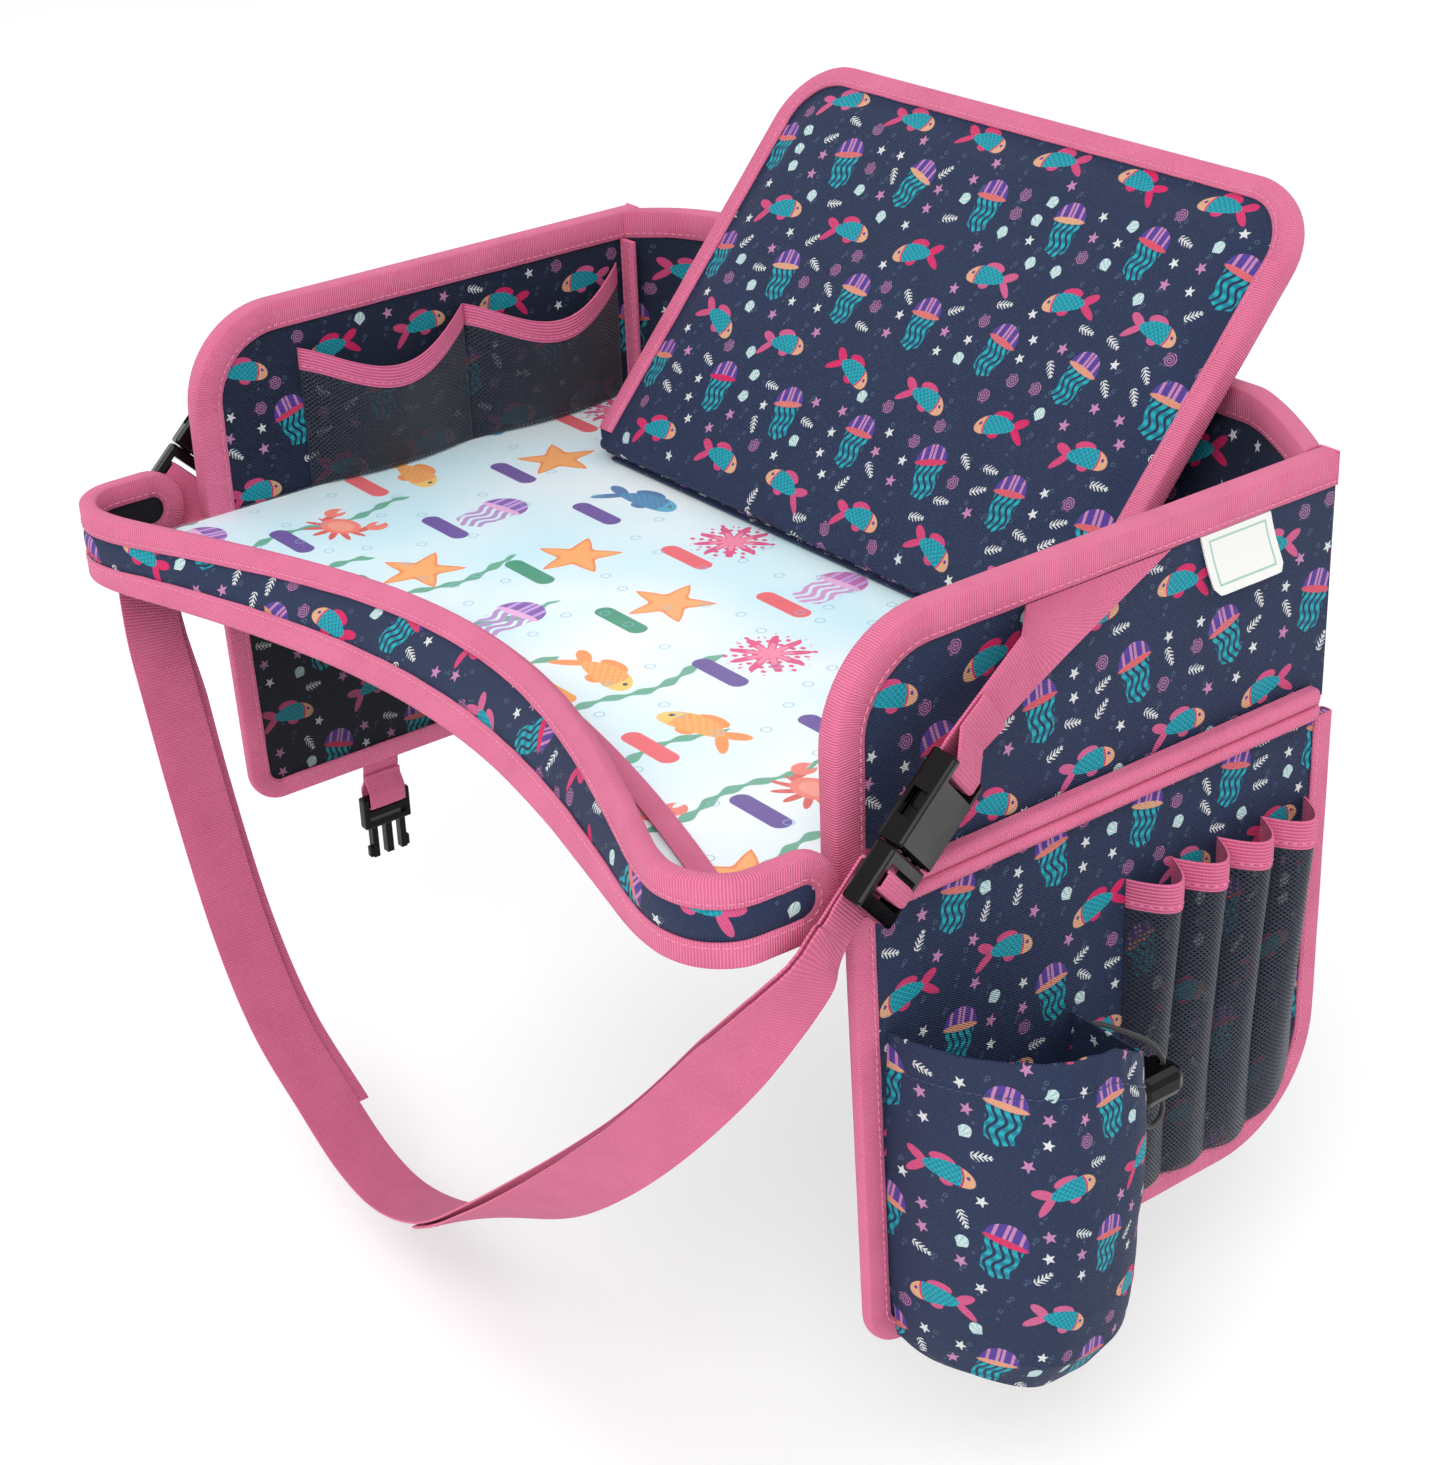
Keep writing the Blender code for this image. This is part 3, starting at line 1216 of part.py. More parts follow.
def main():
    clear_scene()
    base_and_sheets()
    rim()
    walls()
    corner_tapes()
    seam_rolls()
    net_pockets()
    tag()
    waist_buckles()
    anchor_webbing()
    strap()
    panel()
    flap("right", 1, RIGHT_FLAP_BOTTOM, RIGHT_FLAP_BACK_R)
    flap("left", -1, LEFT_FLAP_BOTTOM, LEFT_FLAP_BACK_R)
    pouch()
    marker_pockets()
    clip_tabs()
    cord_lock()
    drawcord()


main()
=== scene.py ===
"""The looks of the car seat tray table: cloth, tape, webbing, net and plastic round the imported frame."""

import json
import math

import bmesh
import bpy
from mathutils import Matrix, Vector, noise


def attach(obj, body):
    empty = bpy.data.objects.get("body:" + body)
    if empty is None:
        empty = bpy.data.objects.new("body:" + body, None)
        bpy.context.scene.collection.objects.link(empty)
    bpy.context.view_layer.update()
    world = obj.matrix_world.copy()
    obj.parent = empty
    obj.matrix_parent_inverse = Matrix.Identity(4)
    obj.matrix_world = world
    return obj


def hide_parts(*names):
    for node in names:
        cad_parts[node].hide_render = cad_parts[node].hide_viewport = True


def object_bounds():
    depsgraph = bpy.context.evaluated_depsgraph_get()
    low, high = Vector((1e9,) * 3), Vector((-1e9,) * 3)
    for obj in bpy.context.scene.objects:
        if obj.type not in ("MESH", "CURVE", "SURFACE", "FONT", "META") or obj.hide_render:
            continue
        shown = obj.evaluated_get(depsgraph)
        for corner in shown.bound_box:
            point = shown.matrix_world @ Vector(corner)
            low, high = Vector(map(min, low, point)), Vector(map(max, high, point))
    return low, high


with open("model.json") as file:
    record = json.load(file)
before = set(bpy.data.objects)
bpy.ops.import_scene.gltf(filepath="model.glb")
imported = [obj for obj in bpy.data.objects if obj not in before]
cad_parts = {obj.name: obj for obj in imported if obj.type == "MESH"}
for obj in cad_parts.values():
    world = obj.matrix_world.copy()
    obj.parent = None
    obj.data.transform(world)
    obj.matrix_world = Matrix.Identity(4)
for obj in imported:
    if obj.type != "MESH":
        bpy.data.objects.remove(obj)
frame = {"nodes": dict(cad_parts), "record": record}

CAD_BOX = [list(corner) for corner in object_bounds()]

# Sizes of the frame, in metres, as its solids have them
GAP = 0.0003
CLOTH_T = 0.0008
TAPE_T = 0.0008
TAPE_LIP = 0.0003
WEBBING_W = 0.0254
WEBBING_T = 0.0012
WEBBING_GAP = 0.0004
TRAY_W = 0.42
TRAY_D = 0.23
BASE_T = 0.0012
BOARD_T = 0.0078
SHEET_T = 0.0006
COVER_T = 0.0005
COVER_TAPE_W = 0.009
COVER_MOUTH = -0.110
COVER_MOUTH_REACH = 0.046
COVER_MOUTH_POWER = 1.6
WALL_TOP = 0.096
WALL_BOARD_T = 0.0044
WALL_CORNER_R = 0.040
WALL_LEG = 0.0115
BACK_BOW = 0.029
BACK_BOW_POWER = 9
BACK_BOW_RIGHT_POWER = 1.25
CORNER_TAPE_W = 0.009
CORNER_TAPE_T = 0.003
SEAM_ROLL_H = 0.0125
SEAM_ROLL_T = 0.006
SEAM_ROLL_FOOT = 0.004
SEAM_ROLL_FRONT = 0.0105
SEAM_ROLL_BACK = -0.006
RIM_H = 0.032
RIM_PAD_T = 0.0030
RIM_LEG = 0.0090
RIM_END_R = 0.0145
RIM_PAST_SIDE = 0.0085
BELLY_REACH = 0.027
LOBE_REACH = 0.058
RIM_SLANT = 0.025
RIM_PITCH = 0.012
RIM_FRONT_SHARES = ((0, 0), (0.23, 0.10), (0.46, 0.38), (0.68, 0.74), (0.83, 0.98), (0.93, 0.97))
RIM_LOBE_SHARES = ((0.99, 0.80), (1.0, 0.50), (1.0, 0.11))
RIM_SLANT_END_SHARE = 0.905
RIM_GRAIN = 0.6
NET_T = 0.0007
NET_END_SHARES = (-0.565, 0.157, 0.878)
NET_BULGE = 0.015
NET_TOP = 0.073
NET_SAG = 0.0135
NET_BAND_H = 0.0095
NET_BAND_T = 0.0011
TAG_IN = 0.0515
TAG_W = 0.034
TAG_H = 0.023
TAG_T = 0.0007
TAG_LIFT = 0.003
TAG_SWING = 0.006
TAG_CORNER_R = 0.003
BUCKLE_OUT = 0.0165
BUCKLE_IN = 0.0375
BUCKLE_Z = 0.0465
BUCKLE_PITCH = math.radians(43.8)
BUCKLE_TURN = math.radians(20)
BAR_L = 0.004
BAR_T = 0.005
SLOT_L = 0.0036
FEMALE_L = 0.033
MALE_L = 0.0215
MALE_T = 0.0076
MALE_BARS = (0.0046, 0.0042)
BUCKLE_T = 0.0095
SIDE_CLEARANCE = 0.0005
ANCHOR_Y = -0.001
ANCHOR_BEND_L = 0.007
ANCHOR_RETURN_L = 0.016
ANCHOR_SQUARE_SHARE = 0.5
CLIP_SCALE_SHARE = 0.72
CLIP_Y = -0.041
CLIP_TAB_L = 0.016
CLIP_TAB_SHARES = (0.7, 0.5, 0.2, 0.85)
CLIP_PIVOT_DROP = 0.0006
RIGHT_CLIP_DROP = 0.075
PANEL_W = 0.295
PANEL_L = 0.191
PANEL_Y = 0.049
PANEL_AXIS_RISE = 0.0061
PANEL_BACK_DROP = 0.0034
PANEL_R = 0.030
PANEL_FOOT_R = 0.004
PANEL_PAD_T = 0.0020
PANEL_CROWN = 0.0035
PANEL_CROWN_L = 0.013
PANEL_FLAT = 0.003
PANEL_BOARD_T = 0.0030
PANEL_LEG = 0.0085
HINGE_STRIP_FRONT = 0.002
HINGE_STRIP_BACK = 0.016
HINGE_STRIP_IN = 0.010
HINGE_STRIP_LIFT = 0.0014
PANEL_ROLL_DEGREES = 140
FLAP_PAD_T = 0.0020
FLAP_LEG = 0.0085
FLAP_AXIS_Z = -0.0045
FLAP_TOP_RISE = 0.00025
FLAP_PAST = 0.002
FLAP_FRONT_IN = 0.004
FLAP_LEAN = 0.005
RIGHT_FLAP_BOTTOM = -0.181
LEFT_FLAP_BOTTOM = -0.134
RIGHT_FLAP_BACK_R = 0.048
LEFT_FLAP_BACK_R = 0.036
FLAP_FRONT_R = 0.014
POUCH_IN = 0.013
POUCH_BACK = -0.009
POUCH_DEPTH = 0.064
POUCH_T = 0.0010
POUCH_BOTTOM = -0.178
POUCH_SAG = 0.018
POUCH_MOUTH_FRONT = -0.052
POUCH_MOUTH_MID = -0.046
POUCH_MOUTH_BACK = -0.080
POUCH_GATHER_SHARE = 0.035
POUCH_TAPER_SHARE = 0.08
POUCH_SHARES = (
    (0, 0.98, 0),
    (0.14, 1.0, 0),
    (0.36, 1.01, 0),
    (0.6, 1.0, 0),
    (0.8, 0.97, 0),
    (0.91, 0.90, 0.3),
    (0.96, 0.74, 0.8),
    (0.98, 0.50, 0.9),
    (0.99, 0.25, 0.45),
    (1.0, 0.04, 0),
)
MARKER_START = 0.0135
MARKER_IN = 0.0125
MARKER_COUNT = 4
MARKER_BULGE = 0.014
MARKER_TOP = -0.0355
MARKER_BAND_H = 0.0112
MARKER_BAND_T = 0.0011
MARKER_FOOT_SHARE = 0.25
CORD_D = 0.002
CORD_ROUTE = (
    (0.2205, -0.0104, -0.0870),
    (0.2213, -0.0070, -0.0878),
    (0.2262, -0.0030, -0.0898),
    (0.2322, -0.0018, -0.0922),
    (0.2360, -0.0015, -0.0960),
    (0.2360, -0.0015, -0.1005),
    (0.2360, -0.0015, -0.1070),
    (0.2360, -0.0015, -0.1120),
    (0.2362, -0.0005, -0.1185),
    (0.2364, 0.0040, -0.1225),
    (0.2364, 0.0090, -0.1205),
    (0.2362, 0.0104, -0.1160),
    (0.2360, 0.0095, -0.1115),
    (0.2360, 0.0095, -0.1070),
    (0.2360, 0.0095, -0.1005),
    (0.2360, 0.0095, -0.0960),
    (0.2325, 0.0060, -0.0895),
    (0.2265, -0.0026, -0.0838),
    (0.2213, -0.0072, -0.0820),
    (0.2205, -0.0107, -0.0815),
)
STRAP_X_SHARES = (
    0.978, 0.905, 0.79, 0.671, 0.547, 0.375, 0.181, 0.0, -0.155,
    -0.283, -0.419, -0.57, -0.684, -0.781, -0.848, -0.901, -0.967,
)
STRAP_ROUTE = (
    ((0.0230, -0.0090), (-0.15, 0.68, -0.70)),
    ((0.0330, -0.0360), (0.15, 0.62, -0.76)),
    ((0.0335, -0.0680), (0.45, 0.47, -0.76)),
    ((0.0340, -0.0980), (0.58, 0.42, -0.70)),
    ((0.0340, -0.1255), (0.60, 0.45, -0.66)),
    ((0.0340, -0.1595), (0.50, 0.62, -0.58)),
    ((0.0340, -0.1930), (0.30, 0.88, -0.35)),
    ((0.0340, -0.2195), (0.08, 0.99, -0.08)),
    ((0.0340, -0.2310), (0, 1, 0)),
    ((0.0340, -0.2275), (0, 1, 0)),
    ((0.0330, -0.2140), (0, 1, 0)),
    ((0.0330, -0.1920), (0, 1, 0)),
    ((0.0330, -0.1560), (0, 1, 0)),
    ((0.0330, -0.1030), (0, 1, 0)),
    ((0.0325, -0.0610), (0, 1, -0.05)),
    ((0.0310, -0.0320), (0.05, 0.96, -0.25)),
    ((0.0235, -0.0090), (0.25, 0.78, -0.55)),
)
STRAP_LEAD = 0.008
STRAP_STEP = 0.0035
TAIL_LIFT = 0.004
RIGHT_TAIL_SHARE = 0.49
LEFT_TAIL_SHARE = 0.40
LEFT_TAIL_SLIP = 0.0055

# The pouch's cloth: its columns, its casing's depth, and how far its folds stand out
POUCH_COLUMNS = 96
CASING_H = 0.013
PLEAT = 0.0024
GATHER = 0.0016
GROOVE = 0.0006
GROOVE_W = 0.0012
CREASE = 0.0036

# The photograph's camera, as it was fitted to the tray's corners
CAMERA_AT = (0.8130, -0.6078, 0.4628)
CAMERA_TARGET = (0.1037, -0.0782, 0.012)
CAMERA_ROLL = math.radians(-2.40)
CAMERA_FOCUS = 2834.06
PHOTO_H = 1465
SENSOR = 36.0

# The floor: how far it reaches, and how far below the strap it is, so that the strap can slide down
FLOOR_REACH = 60.0
FLOOR_DROP = 0.045
FLOOR_GLOW = 0.13
SKY_LIGHT = 0.84
LAMPS = (
    ("key", 23, 1.2, (1.2, -1.3, 1.5)),
    ("fill", 6, 1.6, (-1.5, -0.9, 1.0)),
    ("rear", 6, 1.2, (0.6, 1.6, 1.4)),
)

WALL_STACK = WALL_BOARD_T + 2 * (CLOTH_T + GAP)
WALL_HALF = WALL_STACK / 2 + GAP + TAPE_T
SIDE_X = TRAY_W / 2 - WALL_HALF
BACK_Y = TRAY_D / 2 - WALL_HALF
INSIDE_X = SIDE_X - WALL_HALF - GAP
INSIDE_Y = BACK_Y - WALL_HALF - GAP
WALL_FOOT = BASE_T + GAP
NOSE = TAPE_LIP + TAPE_T
SHEET_Z = WALL_FOOT + BOARD_T + GAP
COVER_Z = SHEET_Z + SHEET_T + GAP
TRAY_TOP = COVER_Z + COVER_T
RIM_STACK = RIM_PAD_T + GAP + CLOTH_T
RIM_HALF_T = RIM_STACK / 2 + 2 * GAP + TAPE_T
FLAP_STACK = FLAP_PAD_T + GAP + CLOTH_T
FLAP_FACE_X = TRAY_W / 2 + FLAP_STACK / 2
FLAP_FRONT = FLAP_FRONT_IN - TRAY_D / 2
FLAP_BACK = TRAY_D / 2 + FLAP_PAST
POUCH_FRONT = FLAP_FRONT + POUCH_IN
MARKER_END = FLAP_BACK - MARKER_IN
PANEL_STACK = PANEL_PAD_T + PANEL_BOARD_T + CLOTH_T + 2 * GAP
PANEL_HALF = PANEL_STACK / 2 + GAP + TAPE_T
BUCKLE_X = TRAY_W / 2 + BUCKLE_OUT
BUCKLE_Y = BUCKLE_IN - TRAY_D / 2
TAG_Y = TRAY_D / 2 - TAG_IN

# How finely the cloth and tape are drawn, and their sewing
CLOTH_PITCH = 0.003
TAPE_PITCH = 0.0025
TURNS = 14
STITCH_PITCH = 0.0034
STITCH_L = 0.0027
STITCH_R = 0.00026
STITCH_IN = 0.0019
STITCH_SIDES = 5
STITCH_FLAT = 1.25
NET_CELL = 0.0021
NET_STRAND = 0.00052
NET_STRAND_T = 0.00035
SHARP_DEGREES = 50
WAVE_SIZE = 0.03
WAVE_LIFT = 0.00012
METRIC = "metric"


# ---- materials

class Value:
    """A number in a shader, as the output of a node, that can be reckoned with."""

    def __init__(self, shader, socket):
        self.shader, self.socket = shader, socket

    def op(self, kind, *others, clamp=False):
        return self.shader.math(kind, self, *others, clamp=clamp)

    def __add__(self, other):
        return self.op("ADD", other)

    def __sub__(self, other):
        return self.op("SUBTRACT", other)

    def __rsub__(self, other):
        return self.shader.math("SUBTRACT", other, self)

    def __mul__(self, other):
        return self.op("MULTIPLY", other)

    def __truediv__(self, other):
        return self.op("DIVIDE", other)

    __radd__, __rmul__ = __add__, __mul__

    def below(self, soft=0.18):
        """1 where this is under zero, with an edge that is soft wide."""
        return self.op("MULTIPLY_ADD", -1 / soft, 0.5, clamp=True)

    def clipped(self, grow=1.0):
        """This times grow, kept from 0 to 1."""
        return self.op("MULTIPLY", grow, clamp=True)

    def half(self):
        """A wave from -1 to 1 turned into one from 0 to 1."""
        return self * 0.5 + 0.5


for method, operation in (
    ("floor", "FLOOR"), ("fract", "FRACT"), ("abs", "ABSOLUTE"), ("sin", "SINE"), ("cos", "COSINE"),
    ("root", "SQRT"), ("low", "MINIMUM"), ("high", "MAXIMUM"), ("over", "GREATER_THAN"),
    ("under", "LESS_THAN"), ("atan", "ARCTAN2"),
):
    setattr(Value, method, lambda self, *others, kind=operation: self.op(kind, *others))


class Shader:
    """A Principled material, with short ways to make its nodes."""

    def __init__(self, name, colour, **values):
        self.material = bpy.data.materials.new(name)
        self.material.use_nodes = True
        self.tree = self.material.node_tree
        self.bsdf = self.tree.nodes["Principled BSDF"]
        self.bsdf.inputs["Base Color"].default_value = (*colour, 1)
        for key, value in values.items():
            self.bsdf.inputs[key.replace("_", " ")].default_value = value

    def node(self, kind, **settings):
        made = self.tree.nodes.new("ShaderNode" + kind)
        for key, value in settings.items():
            setattr(made, key, value)
        return made

    def feed(self, socket, value):
        if isinstance(value, Value):
            value = value.socket
        if isinstance(value, bpy.types.NodeSocket):
            self.tree.links.new(value, socket)
        elif isinstance(value, tuple) and len(value) == 3 and socket.type == "RGBA":
            socket.default_value = (*value, 1)
        else:
            socket.default_value = value

    def math(self, kind, *values, clamp=False):
        made = self.node("Math", operation=kind, use_clamp=clamp)
        for socket, value in zip(made.inputs, values):
            self.feed(socket, value)
        return Value(self, made.outputs[0])

    def mix(self, share, first, second):
        made = self.node("Mix", data_type="RGBA")
        for index, value in ((0, share), (6, first), (7, second)):
            self.feed(made.inputs[index], value)
        return made.outputs[2]

    def coats(self, colour, *layers):
        """The colour under layers of (share, colour), laid one over the other."""
        for share, ink in layers:
            colour = self.mix(share, colour, ink)
        return colour

    def split(self, socket):
        made = self.node("SeparateXYZ")
        self.feed(made.inputs[0], socket)
        return [Value(self, output) for output in made.outputs]

    def point(self, *values):
        made = self.node("CombineXYZ")
        for socket, value in zip(made.inputs, values):
            self.feed(socket, value)
        return made.outputs[0]

    def metric(self):
        """The cloth's own coordinates, in millimetres along and across."""
        x, y, _ = self.split(self.node("UVMap", uv_map=METRIC).outputs[0])
        return x * 1000, y * 1000

    def place(self):
        return self.node("TexCoord").outputs["Object"]

    def noise(self, scale, detail=3, vector=None, rough=0.5):
        made = self.node("TexNoise")
        self.feed(made.inputs["Vector"], vector or self.place())
        for key, value in (("Scale", scale), ("Detail", detail), ("Roughness", rough)):
            self.feed(made.inputs[key], value)
        return Value(self, made.outputs["Fac"])

    def random(self, x, y, seed):
        made = self.node("TexWhiteNoise", noise_dimensions="3D")
        self.feed(made.inputs["Vector"], self.point(x, y, seed))
        return self.split(made.outputs["Color"])

    def bump(self, height, distance, strength=1.0):
        made = self.node("Bump")
        for key, value in (("Height", height), ("Distance", distance), ("Strength", strength)):
            self.feed(made.inputs[key], value)
        self.feed(self.bsdf.inputs["Normal"], made.outputs[0])

    def set(self, key, value):
        self.feed(self.bsdf.inputs[key], value)


TAU = 2 * math.pi


def turned(x, y, angle):
    """x and y in a frame that is turned by angle."""
    c, s = angle.cos(), angle.sin()
    return x * c + y * s, y * c - x * s


def away(x, y):
    return (x * x + y * y).root()


def circle(x, y, radius):
    return away(x, y) - radius


def oval(x, y, a, b):
    return ((x * x / (a * a) + y * y / (b * b)).root() - 1) * min(a, b)


def petals(x, y, radius, count, depth):
    return away(x, y) - radius * (1 - depth + depth * (y.atan(x) * count).cos())


def star(x, y, radius):
    corner = ((y.atan(x) * (5 / TAU)).fract() - 0.5).abs() * 2
    return away(x, y) - radius * (0.46 + 0.54 * corner * corner)


def pill(x, y, half_l, half_h):
    return away((x.abs() - (half_l - half_h)).high(0), y) - half_h


def fish(x, y, size):
    """Distances to a fish's body, fins, scales, head and eye. It is under two sizes long."""
    y = y + x * x * (0.16 / size)
    body = oval(x - 0.20 * size, y * (1.18 - x * (0.32 / size)), 0.68 * size, 0.31 * size)
    along, aside = x + 0.40 * size, y.abs()
    out, up = aside * 0.57 - along * 0.82, along * 0.57 + aside * 0.82
    lobe = oval(out - 0.27 * size, up, 0.33 * size, 0.12 * size)
    top = oval(x - 0.02 * size, y - 0.27 * size, 0.34 * size, 0.15 * size)
    under = oval(x - 0.15 * size, y + 0.27 * size, 0.18 * size, 0.13 * size)
    fins = lobe.low(top).low(under)
    scales = (x * (TAU / (0.17 * size))).sin() * (y * (TAU / (0.16 * size))).sin()
    head = 0.58 * size - x - y * y * (0.9 / size)
    eye = circle(x - 0.70 * size, y - 0.06 * size, 0.05 * size)
    return body, fins, scales, head, eye


def jellyfish(x, y, size):
    """Distances to a jellyfish's bell, hem, ribs and arms. It is two sizes tall."""
    bell = oval(x, y - 0.34 * size, 0.60 * size, 0.58 * size).high(0.30 * size - y)
    hem = oval(x, y - 0.30 * size, 0.62 * size, 0.11 * size)
    ribs = (x.abs() * (TAU / (0.30 * size))).sin() - 0.55
    sway = x + (y * (TAU / (0.75 * size))).sin() * 0.09 * size
    lines = ((sway / (0.25 * size)).fract() - 0.5).abs() * (0.25 * size) - 0.075 * size
    sides, ends = x.abs() - 0.50 * size - y * 0.12, -0.98 * size - y + x.abs() * 0.5
    arms = lines.high(sides).high(y - 0.3 * size).high(ends)
    return bell, hem, ribs, arms


def crab(x, y, size):
    """Distances to a crab's shell, legs and claws."""
    shell = oval(x, y, 0.52 * size, 0.36 * size)
    legs = petals(x, y * 1.35 + 0.12 * size, 0.86 * size, 11, 0.30).high(y - 0.05 * size)
    side = x.abs()
    claw = circle(side - 0.66 * size, y - 0.46 * size, 0.24 * size)
    notch = oval(side - 0.60 * size, y - 0.68 * size, 0.07 * size, 0.20 * size)
    arm = oval(side - 0.56 * size, y - 0.22 * size, 0.10 * size, 0.24 * size)
    return shell, legs.low(arm), claw.high(0 - notch)


def between(value, low, high):
    """1 where the value is from low to high."""
    return value.over(low) * value.under(high)


def cells(shader, x, y, wide, tall, seed):
    """Brick-laid cells: the place in the cell from its middle, and three random numbers of the cell."""
    row = (y / tall).floor()
    along = x / wide + row * 0.5
    column = along.floor()
    return (along - column - 0.5) * wide, (y / tall - row - 0.5) * tall, shader.random(column, row, seed)


NAVY = (0.011, 0.020, 0.058)
NAVY_LIT = (0.030, 0.050, 0.118)
TEAL = (0.004, 0.23, 0.33)
TEAL_LIT = (0.015, 0.50, 0.58)
PURPLE = (0.105, 0.052, 0.36)
MAGENTA = (0.80, 0.010, 0.13)
PEACH = (0.88, 0.47, 0.27)
LILAC = (0.66, 0.28, 0.52)
CREAM = (0.86, 0.89, 0.88)
SHELL = (0.38, 0.76, 0.76)
ROSE = (0.52, 0.20, 0.42)
BUBBLE = (0.20, 0.30, 0.42)

# The print's cells and figures, in millimetres
CELL_W, CELL_H = 44.0, 27.0
FISH_SIZE = 14.5
JELLYFISH_SIZE = 12.6
SHEET_CELL_W, SHEET_CELL_H = 62, 55
WEED_PITCH = 43


def printed(shader, x, y, ground):
    """A print in rows: fish, then jellyfish, with stars, sprigs, shells, roses and bubbles between."""
    row = (y / CELL_H).floor()
    along = x / CELL_W + row * 0.5
    column = along.floor()
    lx, ly = (along - column - 0.5) * CELL_W, (y / CELL_H - row - 0.5) * CELL_H
    r1, r2, r3 = shader.random(column, row, 3.0)
    upright = (row * 0.5).fract().over(0.25)
    level = 1 - upright
    bx, by = turned(lx * (r3.over(0.5) * 2 - 1), ly, (r1 - 0.5) * 0.7)
    body, fins, scales, head, eye = fish(bx, by, FISH_SIZE)
    skin = shader.coats(
        shader.mix(scales.half(), TEAL, TEAL_LIT),
        (head.below(0.3), PEACH),
        ((head.abs() - 0.35).below(0.3), MAGENTA),
    )
    bell, hem, ribs, arms = jellyfish(bx, by, JELLYFISH_SIZE)
    colour = shader.coats(
        ground,
        (fins.below() * level, shader.mix(r2 * 0.5, MAGENTA, LILAC)),
        (body.below() * level, skin),
        (eye.below() * level, PURPLE),
        (arms.below() * upright, shader.mix((by * 1.6).sin().half(), TEAL, TEAL_LIT)),
        (bell.below() * upright, shader.mix(ribs.below(0.4), LILAC, PURPLE)),
        (hem.below() * upright, shader.mix(r2, MAGENTA, PEACH)),
    )

    small_w, small_h = CELL_W / 3, CELL_H / 3
    across = along * 3
    sub, band = across.floor(), (y / small_h).floor()
    q1, q2, q3 = shader.random(sub, band, 8.0)
    gap, beside = (1 - between((place / 3).fract(), 0.3, 0.4) for place in (sub, band))
    free = gap * beside * level * q1.over(0.25) + gap * upright
    sx = (across - sub - 0.5) * small_w + (q1 - 0.5) * 3.0
    sy = (y / small_h - band - 0.5) * small_h + (q3 - 0.5) * 1.4
    tx, ty = turned(sx, sy, (q1 - 0.5) * 2.4)
    blades = (((tx - ty.abs() * 0.9) / 1.7).fract() - 0.5).abs() * 1.7 - (0.52 - ty.abs() * 0.17)
    blades = blades.high(ty.abs() - 2.1 + (tx + 1).abs() * 0.28)
    sprig = blades.low(ty.abs() - 0.16).high(tx.abs() - 3.9)
    fan = oval(tx, ty, 2.6, 3.2).high(tx.abs() * 0.9 - ty - 2.6)
    spokes = ((ty + 3).atan(tx) * 14).sin().half()
    turns = (away(tx, ty) - ty.atan(tx) * 0.16).fract() - 0.5
    rose = (turns.abs() - 0.26).high(petals(tx, ty, 3.1, 6, 0.07))
    colour = shader.coats(
        colour,
        (star(tx, ty, 2.4).below(0.25) * between(q2, -1, 0.26) * free, CREAM),
        (star(tx, ty, 2.7).below(0.25) * between(q2, 0.26, 0.46) * free, LILAC),
        (sprig.below(0.22) * between(q2, 0.46, 0.66) * free, CREAM),
        (fan.below(0.25) * between(q2, 0.66, 0.82) * free, shader.mix(spokes, SHELL, CREAM)),
        (rose.below(0.2) * between(q2, 0.82, 2) * free, ROSE),
    )

    ux, uy, (u1, u2, u3) = cells(shader, x + 3, y + 5, 11.3, 8.7, 12.0)
    ux = ux + (u1 - 0.5) * 4
    bubble = circle(ux, uy + (u3 - 0.5) * 3, 0.75).low(circle(ux + 1, uy + 2.4, 0.4))
    drawn = (bubble.abs() - 0.18).below(0.3) * u2.over(0.45) * 0.35
    blank = body.over(0.8) * fins.over(0.8)
    return shader.mix(drawn * blank, colour, BUBBLE)


def times(colour, share):
    return tuple(part * share for part in colour)


def twill_material(name, ground, ground_lit, with_print, dim=0.0):
    """Polyester twill: fine slanting ribs, printed or plain, darker in the rib valleys as painted shade. dim
    darkens the print of an inner side as painted shade.
    """
    made = Shader(name, ground, Roughness=0.62, Sheen_Weight=0.02, Sheen_Roughness=0.5,
                  Specular_IOR_Level=0.22)
    x, y = made.metric()
    drift = made.noise(420, 2) * 0.5
    wave = ((x * 0.62 + y + drift) * (TAU / 0.92)).sin()
    cross = ((x - y * 0.5) * (TAU / 0.70)).sin()
    specks = (made.noise(1500, 1) - 0.64).clipped(7.0)
    worn = made.noise(38, 4)
    shade = (wave * 0.42 + cross * 0.14 + worn * 0.5 + 0.18).clipped()
    colour = made.mix(shade, ground, ground_lit)
    if with_print:
        # painted shade: the print darkens towards the ground in the rib valleys, and by dim on an inner side
        colour = made.coats(printed(made, x, y, colour), ((wave * -0.5 + 0.5) * 0.30, ground), (dim, ground))
    made.set("Base Color", made.mix(specks * 0.25, colour, times(ground_lit, 3)))
    made.set("Roughness", worn * 0.2 + 0.52)
    made.bump(wave + cross * 0.5 + worn * 1.5, 0.00012, 0.9)
    return made.material


